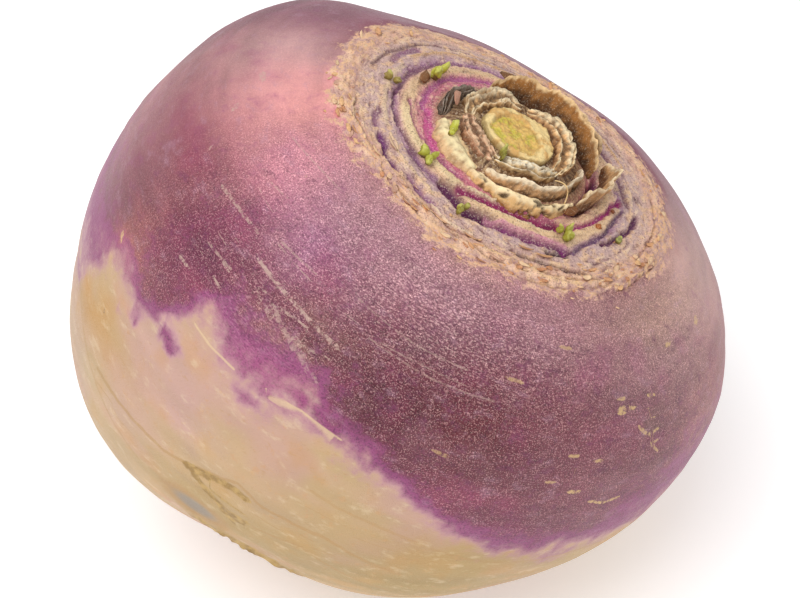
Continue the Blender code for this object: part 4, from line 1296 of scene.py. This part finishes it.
def scales_mesh(name, scales):
    """Flat, uneven chips laid round the crown, in one mesh."""
    bm = bmesh.new()
    for number, scale in enumerate(scales):
        made = bmesh.ops.create_icosphere(bm, subdivisions=2, radius=1.0)["verts"]
        for vert in made:
            rough = 1.0 + 0.45 * noise.noise(vert.co * 1.7 + Vector((number, 0.0, 0.0)))
            vert.co = Vector((vert.co.x * scale.wide * rough, vert.co.y * scale.long * rough,
                              vert.co.z * scale.thick + 0.15 * scale.long * vert.co.y ** 2)) * MM
        angle = radians(scale.around)
        x, y = around_stem(angle, scale.distance * MM)
        floor = crown_surface(np.array([x]), np.array([y]))[0][0]
        slope = Matrix.Rotation(asin(min(scale.distance * MM / BULB_RADIUS, 0.9)) * 0.8, 3, "Y")
        twist = Matrix.Rotation(radians(scale.twist), 3, "Z")
        turn = Matrix.Rotation(-radians(scale.stand), 3, "Y") @ twist
        turn = Matrix.Rotation(angle, 3, "Z") @ slope @ turn
        bmesh.ops.rotate(bm, verts=made, cent=(0, 0, 0), matrix=turn)
        bmesh.ops.translate(bm, verts=made, vec=(x, y, floor + scale.lift * MM))
    mesh = mesh_from(bm, name)
    points = corners_of(mesh)
    colours = np.array([linear(scale.colour) for scale in scales])
    tint = np.repeat(colours, len(points) // len(scales), axis=0)
    lumps = ripple(points, 0.4 * MM, 2, 5.0)
    set_corners(mesh, lean(points))
    paint(mesh, "tint", tint * (1.0 + 0.3 * lumps)[:, None])
    return mesh


def fibre_mesh(name, places, colour):
    """A thin, bent fibre that runs smoothly near its places, closed at both ends."""
    around, distance, height = np.array(places).T
    x, y = around_stem(np.radians(around), distance * MM)
    through = rows(x, y, bulb_height(x, y) + height * MM)
    bends = np.polyfit(np.linspace(0, 1, len(places)), through, 3)
    path = [Vector(sum(bend * step ** (3 - power) for power, bend in enumerate(bends)))
            for step in np.linspace(0, 1, FIBRE_STEPS)]
    bm = bmesh.new()
    rings = []
    for step, middle in enumerate(path):
        heading = path[min(step + 1, FIBRE_STEPS - 1)] - path[max(step - 1, 0)]
        made = bmesh.ops.create_circle(bm, segments=FIBRE_SIDES, radius=FIBRE_RADIUS)["verts"]
        turn = heading.to_track_quat("Z", "Y").to_matrix()
        bmesh.ops.rotate(bm, verts=made, cent=(0, 0, 0), matrix=turn)
        bmesh.ops.translate(bm, verts=made, vec=middle)
        rings.append({edge for vert in made for edge in vert.link_edges})
    for one, other in zip(rings, rings[1:]):
        bmesh.ops.bridge_loops(bm, edges=list(one | other))
    bmesh.ops.holes_fill(bm, edges=bm.edges[:], sides=FIBRE_SIDES)
    bmesh.ops.recalc_face_normals(bm, faces=bm.faces[:])
    mesh = mesh_from(bm, name)
    set_corners(mesh, lean(corners_of(mesh)))
    paint(mesh, "tint", np.tile(linear(colour), (len(mesh.vertices), 1)))
    return mesh


add_piece("dry_fibre", fibre_mesh("dry_fibre", FIBRE_PLACES, "ecc88e"), dried_look, "dried_leaf_base")
add_piece("cork_chips", scales_mesh("cork_chips", chip_scales()), dried_look, "dried_leaf_base")
add_piece("withered_scales", scales_mesh("withered_scales", SCALES), dried_look, "dried_leaf_base")
